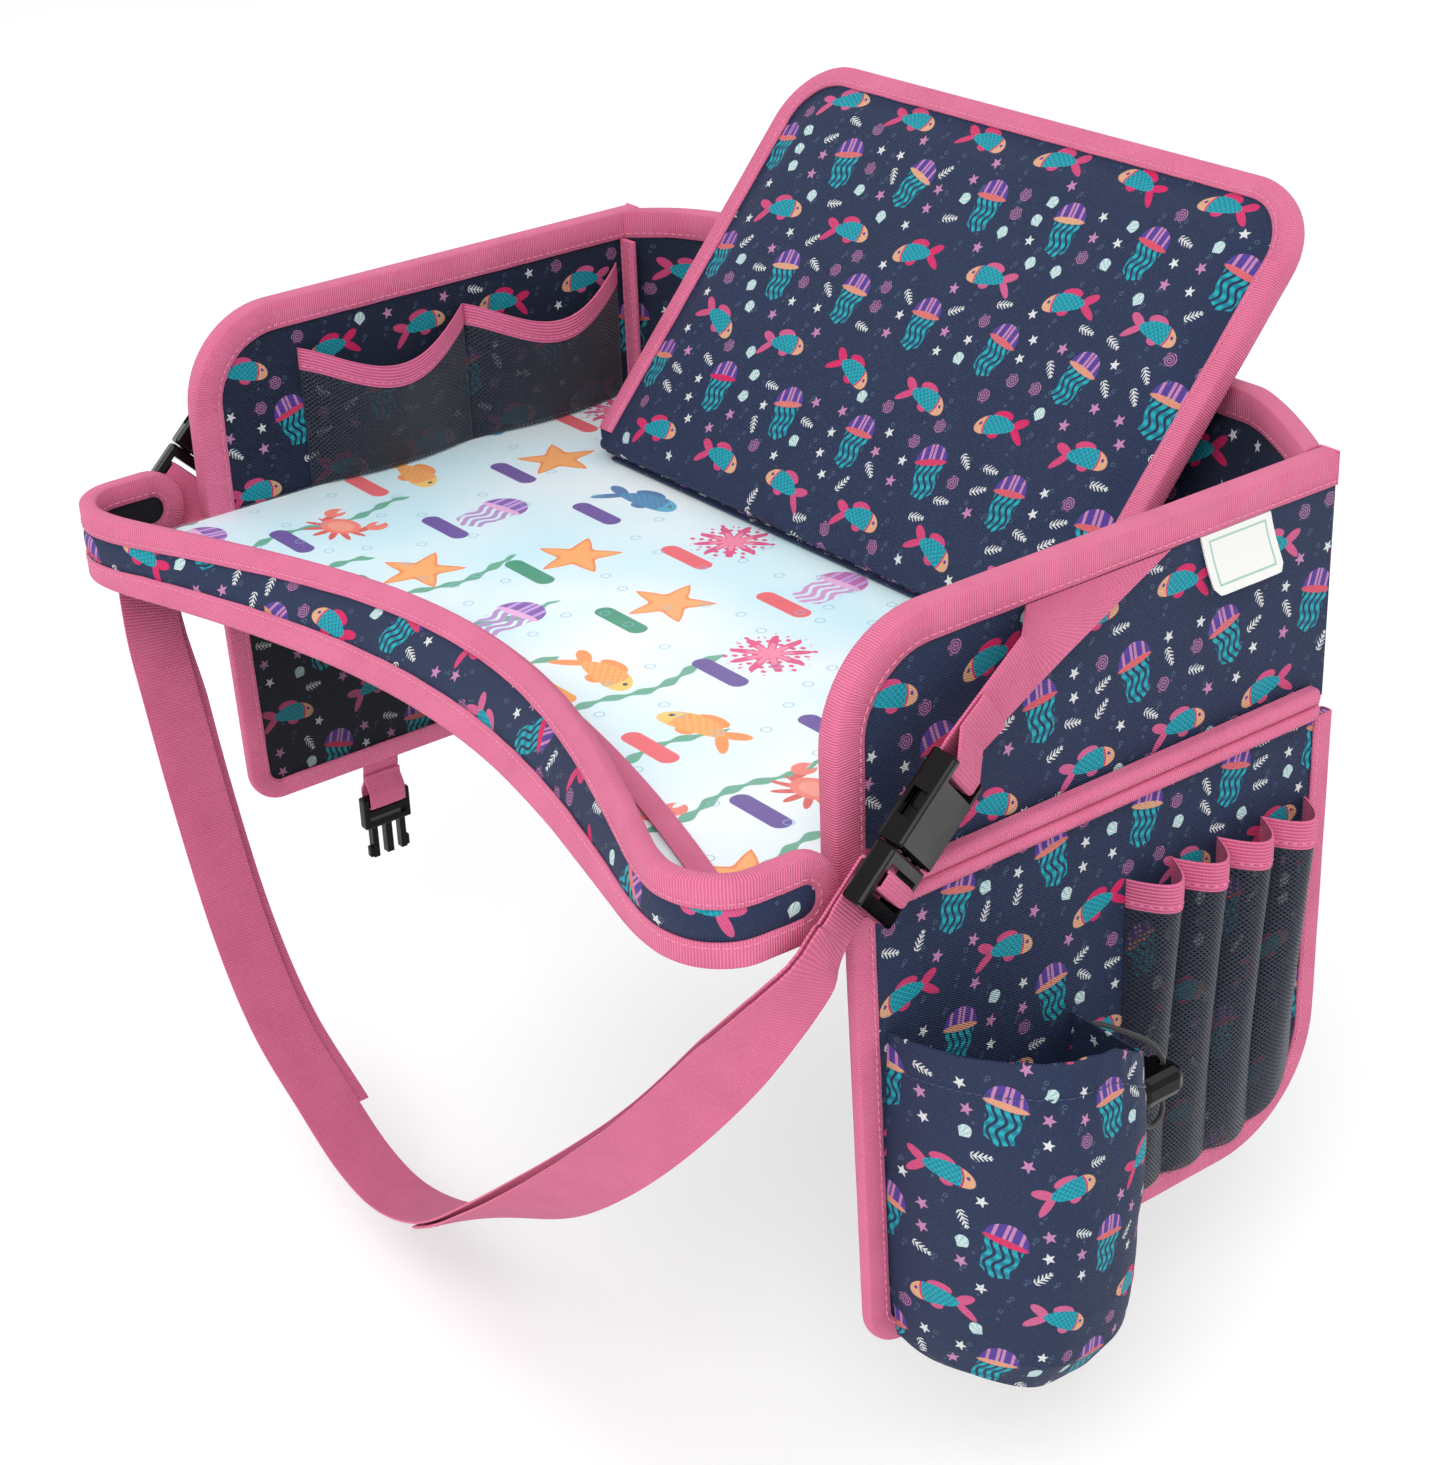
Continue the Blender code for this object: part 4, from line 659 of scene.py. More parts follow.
def grosgrain_material(name, colour, deep, pitch=0.95, weave=0.0, ribs=0.75):
    """Ribbed tape, or with a weave across the ribs, webbing. Its colour darkens in the rib valleys as painted
    shade, and varies at random.
    """
    made = Shader(name, colour, Roughness=0.62, Sheen_Weight=0.05, Sheen_Roughness=0.45,
                  Specular_IOR_Level=0.3)
    x, y = made.metric()
    drift = made.noise(160, 2)
    rib = ((x + drift * 0.3) * (TAU / pitch)).sin()
    height = rib
    if weave:
        lines = (y * (TAU / weave)).sin()
        height = rib * ribs + lines * (1.3 - ribs) + rib * lines * 0.35 * ribs
    uneven = made.noise(55, 3)
    # painted shade: the rib and weave height darkens the valleys towards deep, and the noise adds random tone
    share = height * 0.30 + 0.42 + uneven * 0.45
    made.set("Base Color", made.mix(share.clipped(), deep, colour))
    made.set("Roughness", uneven * 0.2 + 0.52)
    made.bump(height + uneven * 0.8, 0.00016, 1.0)
    return made.material


def thread_material(name, colour):
    made = Shader(name, colour, Roughness=0.5, Sheen_Weight=0.2)
    grain = made.noise(2600, 2)
    made.set("Base Color", made.mix(grain, times(colour, 0.72), colour))
    made.bump(grain, 0.00005, 0.6)
    return made.material


def plastic_material(name, colour, rough=0.24):
    """Moulded acetal: a glossy skin, faintly uneven, dull and scuffed here and there."""
    made = Shader(name, colour, Roughness=rough, Specular_IOR_Level=0.20)
    fine = made.noise(900, 3)
    wide = made.noise(70, 4)
    scuffed = (made.noise(240, 5, rough=0.75) - 0.62).clipped(5.0)
    made.set("Base Color", made.mix(scuffed * 0.2, colour, tuple(c + 0.008 for c in colour)))
    made.set("Roughness", wide * 0.14 + scuffed * 0.2 + (rough - 0.06))
    made.bump(fine * 0.2 + wide, 0.00010, 0.25)
    return made.material


def board_material(name, colour):
    """Foam faced board, seen only where the cloth parts."""
    made = Shader(name, colour, Roughness=0.85)
    grain = made.noise(700, 4)
    made.set("Base Color", made.mix(grain, times(colour, 0.8), colour))
    made.bump(grain, 0.0002, 0.5)
    return made.material


def sheet_material(name):
    """A child's activity print: sea animals over blank labels on pale blue water, with weed and bubbles."""
    made = Shader(name, (0.60, 0.82, 0.93), Roughness=0.4, Specular_IOR_Level=0.3)
    x, y = made.metric()
    water = (made.noise(9, 3) - 0.35).clipped(3.2)
    strand = ((x + (y * 0.11).sin() * 3.0 + 1000) / WEED_PITCH).fract() - 0.5
    weed = (strand.abs() * WEED_PITCH - (1.9 + (y * 0.55).sin() * 0.9)).high(y + 62 + (x * 0.09).sin() * 26)
    lx, ly, (r1, r2, r3) = cells(made, x, y, SHEET_CELL_W, SHEET_CELL_H, 5.0)
    ly = ly - 4
    tx, ty = turned(lx * (r2.over(0.5) * 2 - 1), ly, (r3 - 0.5) * 0.6)
    warm = between(r2, 0.25, 0.75)
    is_fish, is_star, is_coral, is_crab, is_jelly = [
        between(r1, low, high) for low, high in ((0.0, 0.2), (0.2, 0.4), (0.4, 0.6), (0.6, 0.8), (0.8, 10))
    ]
    body, fins, scales, head, eye = fish(tx, ty, 22.0)
    main = made.mix(warm, (0.015, 0.17, 0.42), (0.93, 0.30, 0.04))
    extra = made.mix(warm, (0.04, 0.42, 0.66), (0.97, 0.62, 0.12))
    arms = star(tx, ty, 18.5)
    twigs = petals(tx, ty, 18.5, 18, 0.16).high(0.6 - (tx * 1.1).sin() * (ty * 1.3).sin() * 2)
    shell, legs, claws = crab(tx, ty, 19.0)
    bell, hem, ribs, tentacles = jellyfish(tx, ty, 18.0)
    tint = made.mix(warm, (0.20, 0.06, 0.42), (0.55, 0.10, 0.42))
    label = made.coats(
        (0.0, 0.30, 0.16),
        (r3.over(0.25), (0.88, 0.09, 0.12)),
        (r3.over(0.5), (0.95, 0.36, 0.01)),
        (r3.over(0.75), (0.10, 0.03, 0.32)),
    )
    bx, by, (b1, b2, b3) = cells(made, x + 11, y + 3, 19, 17, 12.0)
    bubble = circle(bx + (b1 - 0.5) * 9, by + (b3 - 0.5) * 8, 1.9)
    made.set("Base Color", made.coats(
        made.mix(water, (0.62, 0.89, 0.97), (0.93, 0.99, 1.0)),
        (weed.below(0.4) * 0.9, (0.03, 0.36, 0.20)),
        (fins.below(0.3) * is_fish, main),
        (body.below(0.3) * is_fish, made.mix(scales * 0.3 + 0.3, main, extra)),
        (body.below(0.3) * head.below(0.3) * is_fish, extra),
        (eye.below(0.3) * is_fish, (0.02, 0.02, 0.03)),
        (arms.below(0.3) * is_star, (0.93, 0.25, 0.03)),
        ((arms + 2.0).below(0.3) * is_star, (0.98, 0.42, 0.10)),
        (petals(tx, ty, 16.0, 9, 0.34).low(twigs).below(0.3) * is_coral, (0.80, 0.03, 0.20)),
        (petals(tx, ty, 9.5, 9, 0.30).below(0.3) * is_coral, (0.95, 0.22, 0.38)),
        (legs.below(0.3) * is_crab, (0.75, 0.08, 0.06)),
        (shell.low(claws).below(0.3) * is_crab, (0.93, 0.20, 0.14)),
        ((shell + 2.4).below(0.5) * is_crab * 0.6, (0.98, 0.42, 0.30)),
        (tentacles.below(0.3) * is_jelly, made.mix(0.4, tint, (0.9, 0.6, 0.9))),
        (bell.below(0.3) * is_jelly, made.mix(ribs.below(0.4), (0.62, 0.36, 0.80), tint)),
        (hem.below(0.3) * is_jelly, (0.85, 0.45, 0.75)),
        (pill(lx, ly + 23.5, 14.5, 4.1).below(0.3), label),
        ((bubble.abs() - 0.28).below(0.2) * b2.over(0.55) * 0.7, (0.20, 0.50, 0.70)),
    ))
    made.bump(made.noise(120, 3), 0.0002, 0.2)
    return made.material


def film_material(name):
    """Clear soft film, nearly unseen but for its shine and its slack waves."""
    made = Shader(name, (0.93, 0.97, 1.0), Roughness=0.09, Specular_IOR_Level=0.6)
    haze = made.noise(20, 3)
    made.set("Alpha", haze * 0.05 + 0.03)
    made.bump(made.noise(14, 2), 0.002, 0.25)
    return made.material


def tag_material(name):
    """A woven satin tag, blank, with a narrow border."""
    made = Shader(name, (0.88, 0.88, 0.86), Roughness=0.55, Sheen_Weight=0.3)
    x, y = made.metric()
    border = ((x.abs() - 13.6).high((y - 11).abs() - 8.4).abs() - 0.4).below(0.3)
    weave = (x * (TAU / 0.35)).sin() * (y * (TAU / 0.35)).sin()
    colour = made.mix(weave.half(), (0.80, 0.80, 0.78), (0.90, 0.90, 0.88))
    made.set("Base Color", made.mix(border * 0.8, colour, (0.20, 0.50, 0.36)))
    made.bump(weave, 0.00005, 0.7)
    return made.material


def cord_material(name):
    """A braided cord: strands that cross as they wind round it."""
    made = Shader(name, (0.012, 0.012, 0.013), Roughness=0.6, Sheen_Weight=0.3)
    x, y = made.metric()
    along, round_it = x * (TAU / 1.5), y * (TAU * 3)
    braid = (along + round_it).sin() * (along - round_it).sin()
    made.set("Base Color", made.mix(braid.half(), (0.008, 0.008, 0.009), (0.045, 0.045, 0.05)))
    made.bump(braid, 0.0002, 0.9)
    return made.material


WEBBING_DEEP = (0.47, 0.060, 0.15)
LOOKS = {
    "pink_grosgrain": grosgrain_material("pink_tape", (0.86, 0.215, 0.385), (0.52, 0.070, 0.165)),
    "pink_webbing": grosgrain_material("pink_webbing", (0.82, 0.19, 0.355), WEBBING_DEEP, 1.25, 0.85),
    "pink_elastic": grosgrain_material("pink_elastic", (0.80, 0.18, 0.345), WEBBING_DEEP, 1.1, 1.35, 0.2),
    "pink_thread": thread_material("pink_thread", (0.88, 0.25, 0.42)),
    "navy_thread": thread_material("navy_thread", (0.03, 0.045, 0.11)),
    "printed_twill": twill_material("printed_cloth", NAVY, NAVY_LIT, True),
    # darker copies of the printed cloth for the inner sides of the walls and flaps, with the print dimmed:
    # painted shade
    "inner_twill": twill_material(
        "printed_inner_cloth", (0.003, 0.0045, 0.010), (0.010, 0.014, 0.028), True, 0.55),
    "wall_twill": twill_material(
        "printed_wall_cloth", (0.006, 0.011, 0.030), (0.017, 0.028, 0.066), True, 0.15),
    "dark_lining": twill_material("plain_lining", (0.003, 0.004, 0.008), (0.009, 0.011, 0.018), False),
    "navy_net": thread_material("net_yarn", (0.012, 0.018, 0.040)),
    "board": board_material("foam_board", (0.55, 0.55, 0.52)),
    "play_sheet": sheet_material("activity_print"),
    "clear_film": film_material("clear_cover_film"),
    "black_plastic": plastic_material("black_acetal", (0.0035, 0.0022, 0.0024), 0.17),
    "white_tag": tag_material("tag_satin"),
    "black_cord": cord_material("braided_cord"),
}


# ---- meshes

def placed(name, data, body, slot, nodes):
    """An object of its own that rides on its body and stands for nodes of the frame, which it hides; its slot
    is not used.
    """
    made = bpy.data.objects.new(name, data)
    bpy.context.scene.collection.objects.link(made)
    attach(made, body)
    if nodes:
        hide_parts(*nodes)
    return made


def piece(name, points, faces, uvs, looks, body, slot, nodes=(), second=()):
    """A smooth mesh that rides on its body, with metric coordinates for each of its points.
    second holds the numbers of the faces that take the second look."""
    mesh = bpy.data.meshes.new(name)
    mesh.from_pydata([tuple(p) for p in points], [], faces)
    layer = mesh.uv_layers.new(name=METRIC)
    corner = [0] * len(mesh.loops)
    mesh.loops.foreach_get("vertex_index", corner)
    layer.data.foreach_set("uv", [number for index in corner for number in uvs[index]])
    for look in looks:
        mesh.materials.append(LOOKS[look])
    if second:
        chosen = [0] * len(mesh.polygons)
        for index in second:
            chosen[index] = 1
        mesh.polygons.foreach_set("material_index", chosen)
    mesh.shade_smooth()
    mesh.set_sharp_from_angle(angle=math.radians(SHARP_DEGREES))
    return placed(name, mesh, body, slot, nodes)


class Build:
    """Points, coordinates and faces, gathered for one piece."""

    def __init__(self):
        self.points, self.uvs, self.faces, self.second = [], [], [], []

    def face(self, corners, flip=False):
        self.faces.append(tuple(corners)[::-1] if flip else tuple(corners))

    def join(self, rows, uvs, closed=False, wrap=False, flip=False):
        """Joins rows of points with faces and returns the number of the first point.
        closed joins the two ends of each row, and wrap joins the last row to the first."""
        start, across = len(self.points), len(rows[0])
        for row, marks in zip(rows, uvs):
            self.points.extend(row)
            self.uvs.extend(marks)
        for i in range(len(rows) if wrap else len(rows) - 1):
            here, there = start + i * across, start + (i + 1) % len(rows) * across
            for j in range(across if closed else across - 1):
                k = (j + 1) % across
                self.face((here + j, here + k, there + k, there + j), flip)
        return start

    def slab(self, front, back, uvs):
        """Two matching grids, closed round their edges."""
        a, b = self.join(front, uvs), self.join(back, uvs, flip=True)
        rows, across = len(front), len(front[0])
        for i in range(rows - 1):
            for j, flip in ((0, False), (across - 1, True)):
                p, q = i * across + j, (i + 1) * across + j
                self.face((a + p, a + q, b + q, b + p), flip)
        for i, flip in ((0, True), (rows - 1, False)):
            for p in range(i * across, (i + 1) * across - 1):
                self.face((a + p, a + p + 1, b + p + 1, b + p), flip)

    def sweep(self, loops, uvs, wrap=False, flip=False):
        """Closed loops of points joined one to the next, with flat ends."""
        start, around = self.join(loops, uvs, True, wrap, flip), len(loops[0])
        if not wrap:
            last = start + (len(loops) - 1) * around
            self.face(range(start, start + around), not flip)
            self.face(range(last, last + around), flip)

    def stitches(self, line, ups):
        """A row of short stitches along a line, half sunk in the cloth."""
        along = lengths(line)
        count = int(along[-1] / STITCH_PITCH)
        k = 0
        for index in range(count):
            ends = []
            for offset in (-STITCH_L / 2, 0, STITCH_L / 2):
                place = (index + 0.5) * along[-1] / count + offset
                k = min(max(k - 3, 0), len(line) - 2)
                while k < len(line) - 2 and along[k + 1] < place:
                    k += 1
                share = (place - along[k]) / max(along[k + 1] - along[k], 1e-9)
                ends.append((line[k].lerp(line[k + 1], share), ups[k]))
            way = (ends[2][0] - ends[0][0]).normalized()
            rings = []
            for (at, up), grow, lift in zip(ends, (0.45, 1.0, 0.45), (-0.4, 0.9, -0.4)):
                side = up.cross(way).normalized()
                reach = STITCH_R * grow
                rings.append([])
                for a in range(STITCH_SIDES):
                    angle = TAU * a / STITCH_SIDES
                    rise = up * (lift * STITCH_R + reach * math.sin(angle))
                    rings[-1].append(at + rise + side * reach * STITCH_FLAT * math.cos(angle))
            first = len(self.faces)
            self.sweep(rings, [[(0.0, 0.0)] * STITCH_SIDES] * len(rings))
            self.second.extend(range(first, len(self.faces)))

    def finish(self, name, looks, body, slot, nodes=()):
        return piece(name, self.points, self.faces, self.uvs, looks, body, slot, nodes, self.second)


def lengths(line):
    """How far along the line each of its points is."""
    along = [0]
    for a, b in zip(line, line[1:]):
        along.append(along[-1] + math.dist(a, b))
    return along


def spread(start, end, count):
    return [start + (end - start) * i / count for i in range(count + 1)]


def steps(start, end, pitch):
    return spread(start, end, max(1, math.ceil(abs(end - start) / pitch)))


def ripple(a, b, size, seed):
    """Smooth noise from -1 to 1, with features about size across."""
    return noise.noise(Vector((a / size, b / size, seed)))


def waved(side, offset, seed, size=WAVE_SIZE, lift=WAVE_LIFT, pitch=1.0):
    """An offset to one side of a surface, which swells a little here and there as cloth does."""
    return lambda s, h: side * (offset + lift * (1 + ripple(s * pitch, h, size, seed)))


def given(value, *place):
    """The value, or what it gives for the place where it's a function."""
    return value(*place) if callable(value) else value


def corner_drop(radius, past):
    """How far a rounded corner falls below its edge, past the place where it starts."""
    return radius - math.sqrt(max(0, radius**2 - max(0, past) ** 2))


def corner_steps(radius):
    """Places along an edge that follow its rounded corner evenly, from its end to where the corner starts."""
    return [radius * (1 - math.cos(math.pi / 2 * i / TURNS)) for i in range(TURNS + 1)]


def between_points(a, b, c, d, t):
    """The place t of the way from b to c, on a smooth curve through all four."""
    square, cube = 2 * a - 5 * b + 4 * c - d, 3 * b - a - 3 * c + d
    return 0.5 * (2 * b + (c - a) * t + square * t**2 + cube * t**3)


def smooth_line(points, count):
    """A curve through the points, with count pieces between two of them."""
    line = [Vector(p) for p in points]
    ends = [2 * line[0] - line[1], *line, 2 * line[-1] - line[-2]]
    out = []
    for i in range(len(line) - 1):
        a, b, c, d = ends[i : i + 4]
        for t in spread(0, 1, count)[:-1]:
            out.append(between_points(a, b, c, d, t))
    return [*out, line[-1]]


def resampled(line, step):
    along = lengths(line)
    count = max(2, round(along[-1] / step))
    out, k = [], 0
    for place in spread(0, along[-1], count):
        while k < len(line) - 2 and along[k + 1] < place:
            k += 1
        out.append(line[k].lerp(line[k + 1], (place - along[k]) / (along[k + 1] - along[k])))
    return out


def edge_path(corners, pitch, turns=TURNS):
    """Points along straight edges with rounded corners (s, h, r), each with the direction to its left."""
    points = [Vector(c[:2]) for c in corners]
    path = []

    def stretch(start, end):
        way = end - start
        left = (-way.y / way.length, way.x / way.length)
        for share in spread(0, 1, max(1, round(way.length / pitch))):
            path.append((tuple(start.lerp(end, share)), left))

    begin = points[0]
    radii = [corner[2] for corner in corners[1:]]
    for before, (corner, after), radius in zip(points, zip(points[1:], points[2:]), radii):
        way_in, way_out = (corner - before).normalized(), (after - corner).normalized()
        angle = way_in.angle_signed(way_out)
        back = radius * math.tan(abs(angle) / 2)
        stretch(begin, corner - way_in * back)
        side = -1 if angle > 0 else 1
        left_in = Vector((-way_in.y, way_in.x))
        centre = corner - way_in * back + left_in * radius * side
        for i in range(1, turns):
            turn = Matrix.Rotation(-angle * i / turns, 2)
            path.append((tuple(centre - turn @ left_in * radius * side), tuple(turn @ left_in)))
        begin = corner + way_out * back
    stretch(begin, points[-1])
    return path


def plate(name, surface, ss, low, high, inner, outer, look, body, slot, nodes, scale=1.0, rows=None, turn=0):
    """Cloth on a surface: a closed slab over the places ss and from low to high, between two offsets.
    scale turns s into metres for the coordinates, and turn is how far the cloth's grain slants."""
    c, d = math.cos(turn), math.sin(turn)
    spans = [(given(low, s), given(high, s)) for s in ss]
    shares = rows or steps(0, 1, CLOTH_PITCH / max(end - start for start, end in spans))
    front, back, marks = [], [], []
    for s, (start, end) in zip(ss, spans):
        heights = [start + (end - start) * share for share in shares]
        front.append([surface(s, h, given(outer, s, h)) for h in heights])
        back.append([surface(s, h, given(inner, s, h)) for h in heights])
        marks.append([(s * scale * c - h * d, s * scale * d + h * c) for h in heights])
    made = Build()
    made.slab(front, back, marks)
    return made.finish(name, [look, "navy_thread"], body, slot, nodes)


def tape_section(half, leg, lip=TAPE_LIP):
    """The cross-section of folded tape, as (how far in, how far off the middle), and the way across it."""
    out, inside = half + TAPE_T, half
    soft = TAPE_T * 0.3
    nose = [math.pi * i / 8 for i in range(9)]
    outer = [(leg, out - soft), (leg - soft, out), (leg / 2, out)]
    outer += [(-(lip + TAPE_T) * math.sin(a), out * math.cos(a)) for a in nose]
    outer += [(leg / 2, -out), (leg - soft, -out), (leg, soft - out)]
    bent = [(-lip * math.sin(a), -inside * math.cos(a)) for a in nose[::2]]
    inner = [(leg, -inside), *bent, (leg, inside)]
    return outer + inner, lengths(outer + inner), len(outer)


def tape(name, surface, path, half, leg, body, nodes, wrap=False, seed=0):
    """Binding folded over an edge, its two legs sewn down near their edges."""
    loop, marks, count = tape_section(half, leg)
    loops, uvs, u, last = [], [], 0, None
    rows = {1: [], -1: []}
    for (s, h), (ds, dh) in path:
        at = surface(s, h, 0)
        u += (at - last).length if last is not None else 0
        last = at
        wave = 0.00025 * ripple(u, 0, 0.014, seed)
        ring = []
        for i, (a, n) in enumerate(loop):
            reach = a + (wave if a > leg * 0.8 else 0)
            swell = 1 + (0.04 * ripple(u, a, 0.02, seed + 7) if i < count else 0)
            ring.append(surface(s + reach * ds, h + reach * dh, n * swell if abs(n) > half else n))
        loops.append(ring)
        uvs.append([(u, v) for v in marks])
        for side in rows:
            a = leg - STITCH_IN
            top = surface(s + a * ds, h + a * dh, side * (half + TAPE_T))
            rows[side].append((top, (top - surface(s + a * ds, h + a * dh, 0)).normalized()))
    made = Build()
    made.sweep(loops, uvs, wrap)
    for side in rows.values():
        line, ups = zip(*side)
        if wrap:
            line, ups = (*line, line[0]), (*ups, ups[0])
        made.stitches(line, ups)
    return made.finish(name, ["pink_grosgrain", "pink_thread"], body, "pink_grosgrain", nodes)


def webbing(name, centres, widths, width, thickness, body, nodes, look="pink_webbing", sew=()):
    """Flat webbing along its middle line, a little thinner at its woven edges."""
    half_w, half_t = width / 2, thickness / 2
    sewn = half_w * 0.8
    shape = [(w, half_t * (0.72 if abs(w) == half_w else 1.0)) for w in spread(-half_w, half_w, 10)]
    loop = shape + [(w, -n) for w, n in reversed(shape)]
    loops, uvs, u = [], [], 0
    ups = []
    for i, (at, across) in enumerate(zip(centres, widths)):
        if i:
            u += (at - centres[i - 1]).length
        ahead = centres[min(i + 1, len(centres) - 1)] - centres[max(i - 1, 0)]
        up = ahead.cross(across).normalized()
        ups.append(up)
        loops.append([at + across * w + up * n for w, n in loop])
        uvs.append([(u, w) for w, _ in loop])
    made = Build()
    made.sweep(loops, uvs, flip=True)
    for start, end, side in sew:
        rows = range(start, end)
        for w in (-sewn, sewn):
            line = [centres[i] + widths[i] * w + ups[i] * half_t * side for i in rows]
            made.stitches(line, [ups[i] * side for i in rows])
        for i in (start, end - 1):
            line = [centres[i] + widths[i] * w + ups[i] * half_t * side for w in spread(-sewn, sewn, 8)]
            made.stitches(line, [ups[i] * side] * len(line))
    return made.finish(name, [look, "pink_thread"], body, "pink_grosgrain", nodes)


# ---- the tray

SHEET_PITCH = 0.004
SHEET_ROWS = steps(0, 1, 0.02)
BACK_COLUMNS = 120


def rim_lines():
    """The points of the front band's middle along its foot and along its top."""
    half_w, front = TRAY_W / 2 + RIM_PAST_SIDE - RIM_HALF_T, -TRAY_D / 2
    belly, lobe = BELLY_REACH - RIM_HALF_T, LOBE_REACH - RIM_HALF_T
    right = [Vector((half_w * x, front - belly - (lobe - belly) * y, 0)) for x, y in RIM_FRONT_SHARES]
    right += [Vector((half_w * x, front - lobe * y, 0)) for x, y in RIM_LOBE_SHARES]
    left = [Vector((-p.x, p.y, 0)) for p in right[:0:-1]]
    line = resampled(smooth_line([*left, *right], 6), RIM_PITCH)
    slant_end = RIM_SLANT_END_SHARE * TRAY_W / 2
    foot, top = [], []
    for p in line:
        slant = RIM_SLANT * max(0, 1 - (p.x / slant_end) ** 2)
        lean = RIM_HALF_T * slant / math.hypot(slant, RIM_H)
        foot.append(p + Vector((0, 0, NOSE + lean)))
        top.append(p + Vector((0, slant, RIM_H - NOSE - lean)))
    return foot, top


class Rim:
    """The slanted front band as a surface: s counts along its lines, h runs up it and n outwards."""

    def __init__(self):
        self.foot, self.top = rim_lines()
        self.last = len(self.foot) - 1

    def at(self, line, s):
        i = min(max(int(s), 0), self.last - 1)
        return line[i] + (line[i + 1] - line[i]) * (s - i)

    def smooth_at(self, line, s):
        """The same place on a smooth curve through the line's points."""
        i = min(max(int(s), 0), self.last - 1)
        t = s - i
        if not 0 <= t <= 1:
            return self.at(line, s)
        a = line[i - 1] if i else 2 * line[0] - line[1]
        d = line[i + 2] if i + 2 <= self.last else 2 * line[-1] - line[-2]
        b, c = line[i], line[i + 1]
        return between_points(a, b, c, d, t)

    def height(self, s):
        return (self.at(self.top, s) - self.at(self.foot, s)).length

    def place(self, s, h, n):
        foot, top = self.smooth_at(self.foot, s), self.smooth_at(self.top, s)
        up = (top - foot).normalized()
        i = min(max(s, 0), self.last)
        a, b = max(i - 0.5, 0), min(i + 0.5, self.last)
        lift = h / self.height(s)
        low = self.smooth_at(self.foot, b) - self.smooth_at(self.foot, a)
        high = self.smooth_at(self.top, b) - self.smooth_at(self.top, a)
        return foot + up * h + low.lerp(high, lift).cross(up).normalized() * n

    def inner(self, s, z):
        low = self.place(s, -NOSE - GAP, -RIM_HALF_T - 2 * GAP)
        high = self.place(s, self.height(s), -RIM_HALF_T - 2 * GAP)
        return low.lerp(high, max(0, (z - low.z) / (high.z - low.z)))

    def path(self, pitch):
        """Round the band's edge: along the foot, up the round end, back along the top and down again."""
        first = RIM_END_R / (self.foot[1] - self.foot[0]).length
        run = spread(first, self.last - first, round((self.last - 2 * first) * RIM_PITCH / pitch))
        unit = RIM_END_R / first
        path = [((s, 0), (0, 1)) for s in run]
        low, high = RIM_END_R, self.height(self.last) - RIM_END_R
        for side, middle in ((1, self.last - first), (-1, first)):
            for degrees in range(-80, 90, 10):
                angle = math.radians(side * degrees)
                across, up = side * first * math.cos(angle), math.sin(angle)
                height = (high if up > 0 else low) + RIM_END_R * up
                path.append(((middle + across, height), (-side * math.cos(angle) / unit, -up)))
            if side > 0:
                path += [((s, self.height(s)), (0, -1)) for s in reversed(run)]
        return path, first, run


RIM = Rim()


def rim_front(z):
    """The y of the band's inner face at a height, for each x."""
    line = [RIM.inner(s, z) for s in spread(0, RIM.last, RIM.last * 3)]
    low = min(range(len(line)), key=lambda i: line[i].x)
    high = max(range(len(line)), key=lambda i: line[i].x)
    line = line[low : high + 1]

    def edge(x):
        for a, b in zip(line, line[1:]):
            if a.x <= x <= b.x:
                return a.y + (b.y - a.y) * (x - a.x) / (b.x - a.x)
        return line[-1].y

    return edge


def flat(x, y, z):
    return Vector((x, y, z))


def sheet(ss, low, high, held):
    """Reckons the area of a flat piece of cloth over the places ss from low to high, and keeps nothing of it.
    """
    tall = [given(high, s) - given(low, s) for s in ss]
    area = sum((b - a) * (p + q) / 2 for a, b, p, q in zip(ss, ss[1:], tall, tall[1:]))
    ss[-1] - ss[0]


def tray_sheets():
    """The dark bottom, the printed play sheet, its clear cover and the tape on the cover's mouth."""
    def across(half, pitch=SHEET_PITCH):
        return steps(-half, half, pitch)

    inside = rim_front(TRAY_TOP + TAPE_T)

    def mouth(x):
        share = min(1, abs(x) / INSIDE_X)
        return max(COVER_MOUTH - COVER_MOUTH_REACH * share**COVER_MOUTH_POWER, inside(x))

    def film(x, y):
        edge_in = min(INSIDE_X - abs(x), INSIDE_Y - y, max(0, y - mouth(x)))
        return TRAY_TOP + 0.00025 * min(1, edge_in / 0.02) * (1 + ripple(x, y, 0.05, 4.0)) / 2

    outside_x, outside_y = SIDE_X + WALL_STACK / 2, TRAY_D / 2 - NOSE
    for name, half, front, back, low, high, look, node, held, rests_on in (
        ("tray_bottom_cloth", outside_x, rim_front(BASE_T), outside_y, waved(1, 0, 2.0), BASE_T,
         "dark_lining", "base_cover", "stretched", "tray_board"),
        ("activity_sheet", INSIDE_X, rim_front(SHEET_Z + SHEET_T), INSIDE_Y, SHEET_Z, SHEET_Z + SHEET_T,
         "play_sheet", "play_sheet", "laid", "tray_board"),
        ("clear_window", INSIDE_X, mouth, INSIDE_Y, COVER_Z, film, "clear_film", "clear_cover", "stretched",
         "activity_sheet"),
    ):
        made = plate(name, flat, across(half), front, back, low, high, look, "tray", look, [node],
                     rows=SHEET_ROWS)
        sheet(across(half), front, back, held)
    tape_z = TRAY_TOP + GAP + TAPE_T / 2
    line = [Vector((x, mouth(x) + COVER_TAPE_W / 2, tape_z)) for x in across(INSIDE_X, TAPE_PITCH)]
    webbing("window_mouth_tape", line, [Vector((0, -1, 0))] * len(line), COVER_TAPE_W, TAPE_T, "tray",
            ["cover_tape"], "pink_grosgrain", sew=[(0, len(line), 1)])


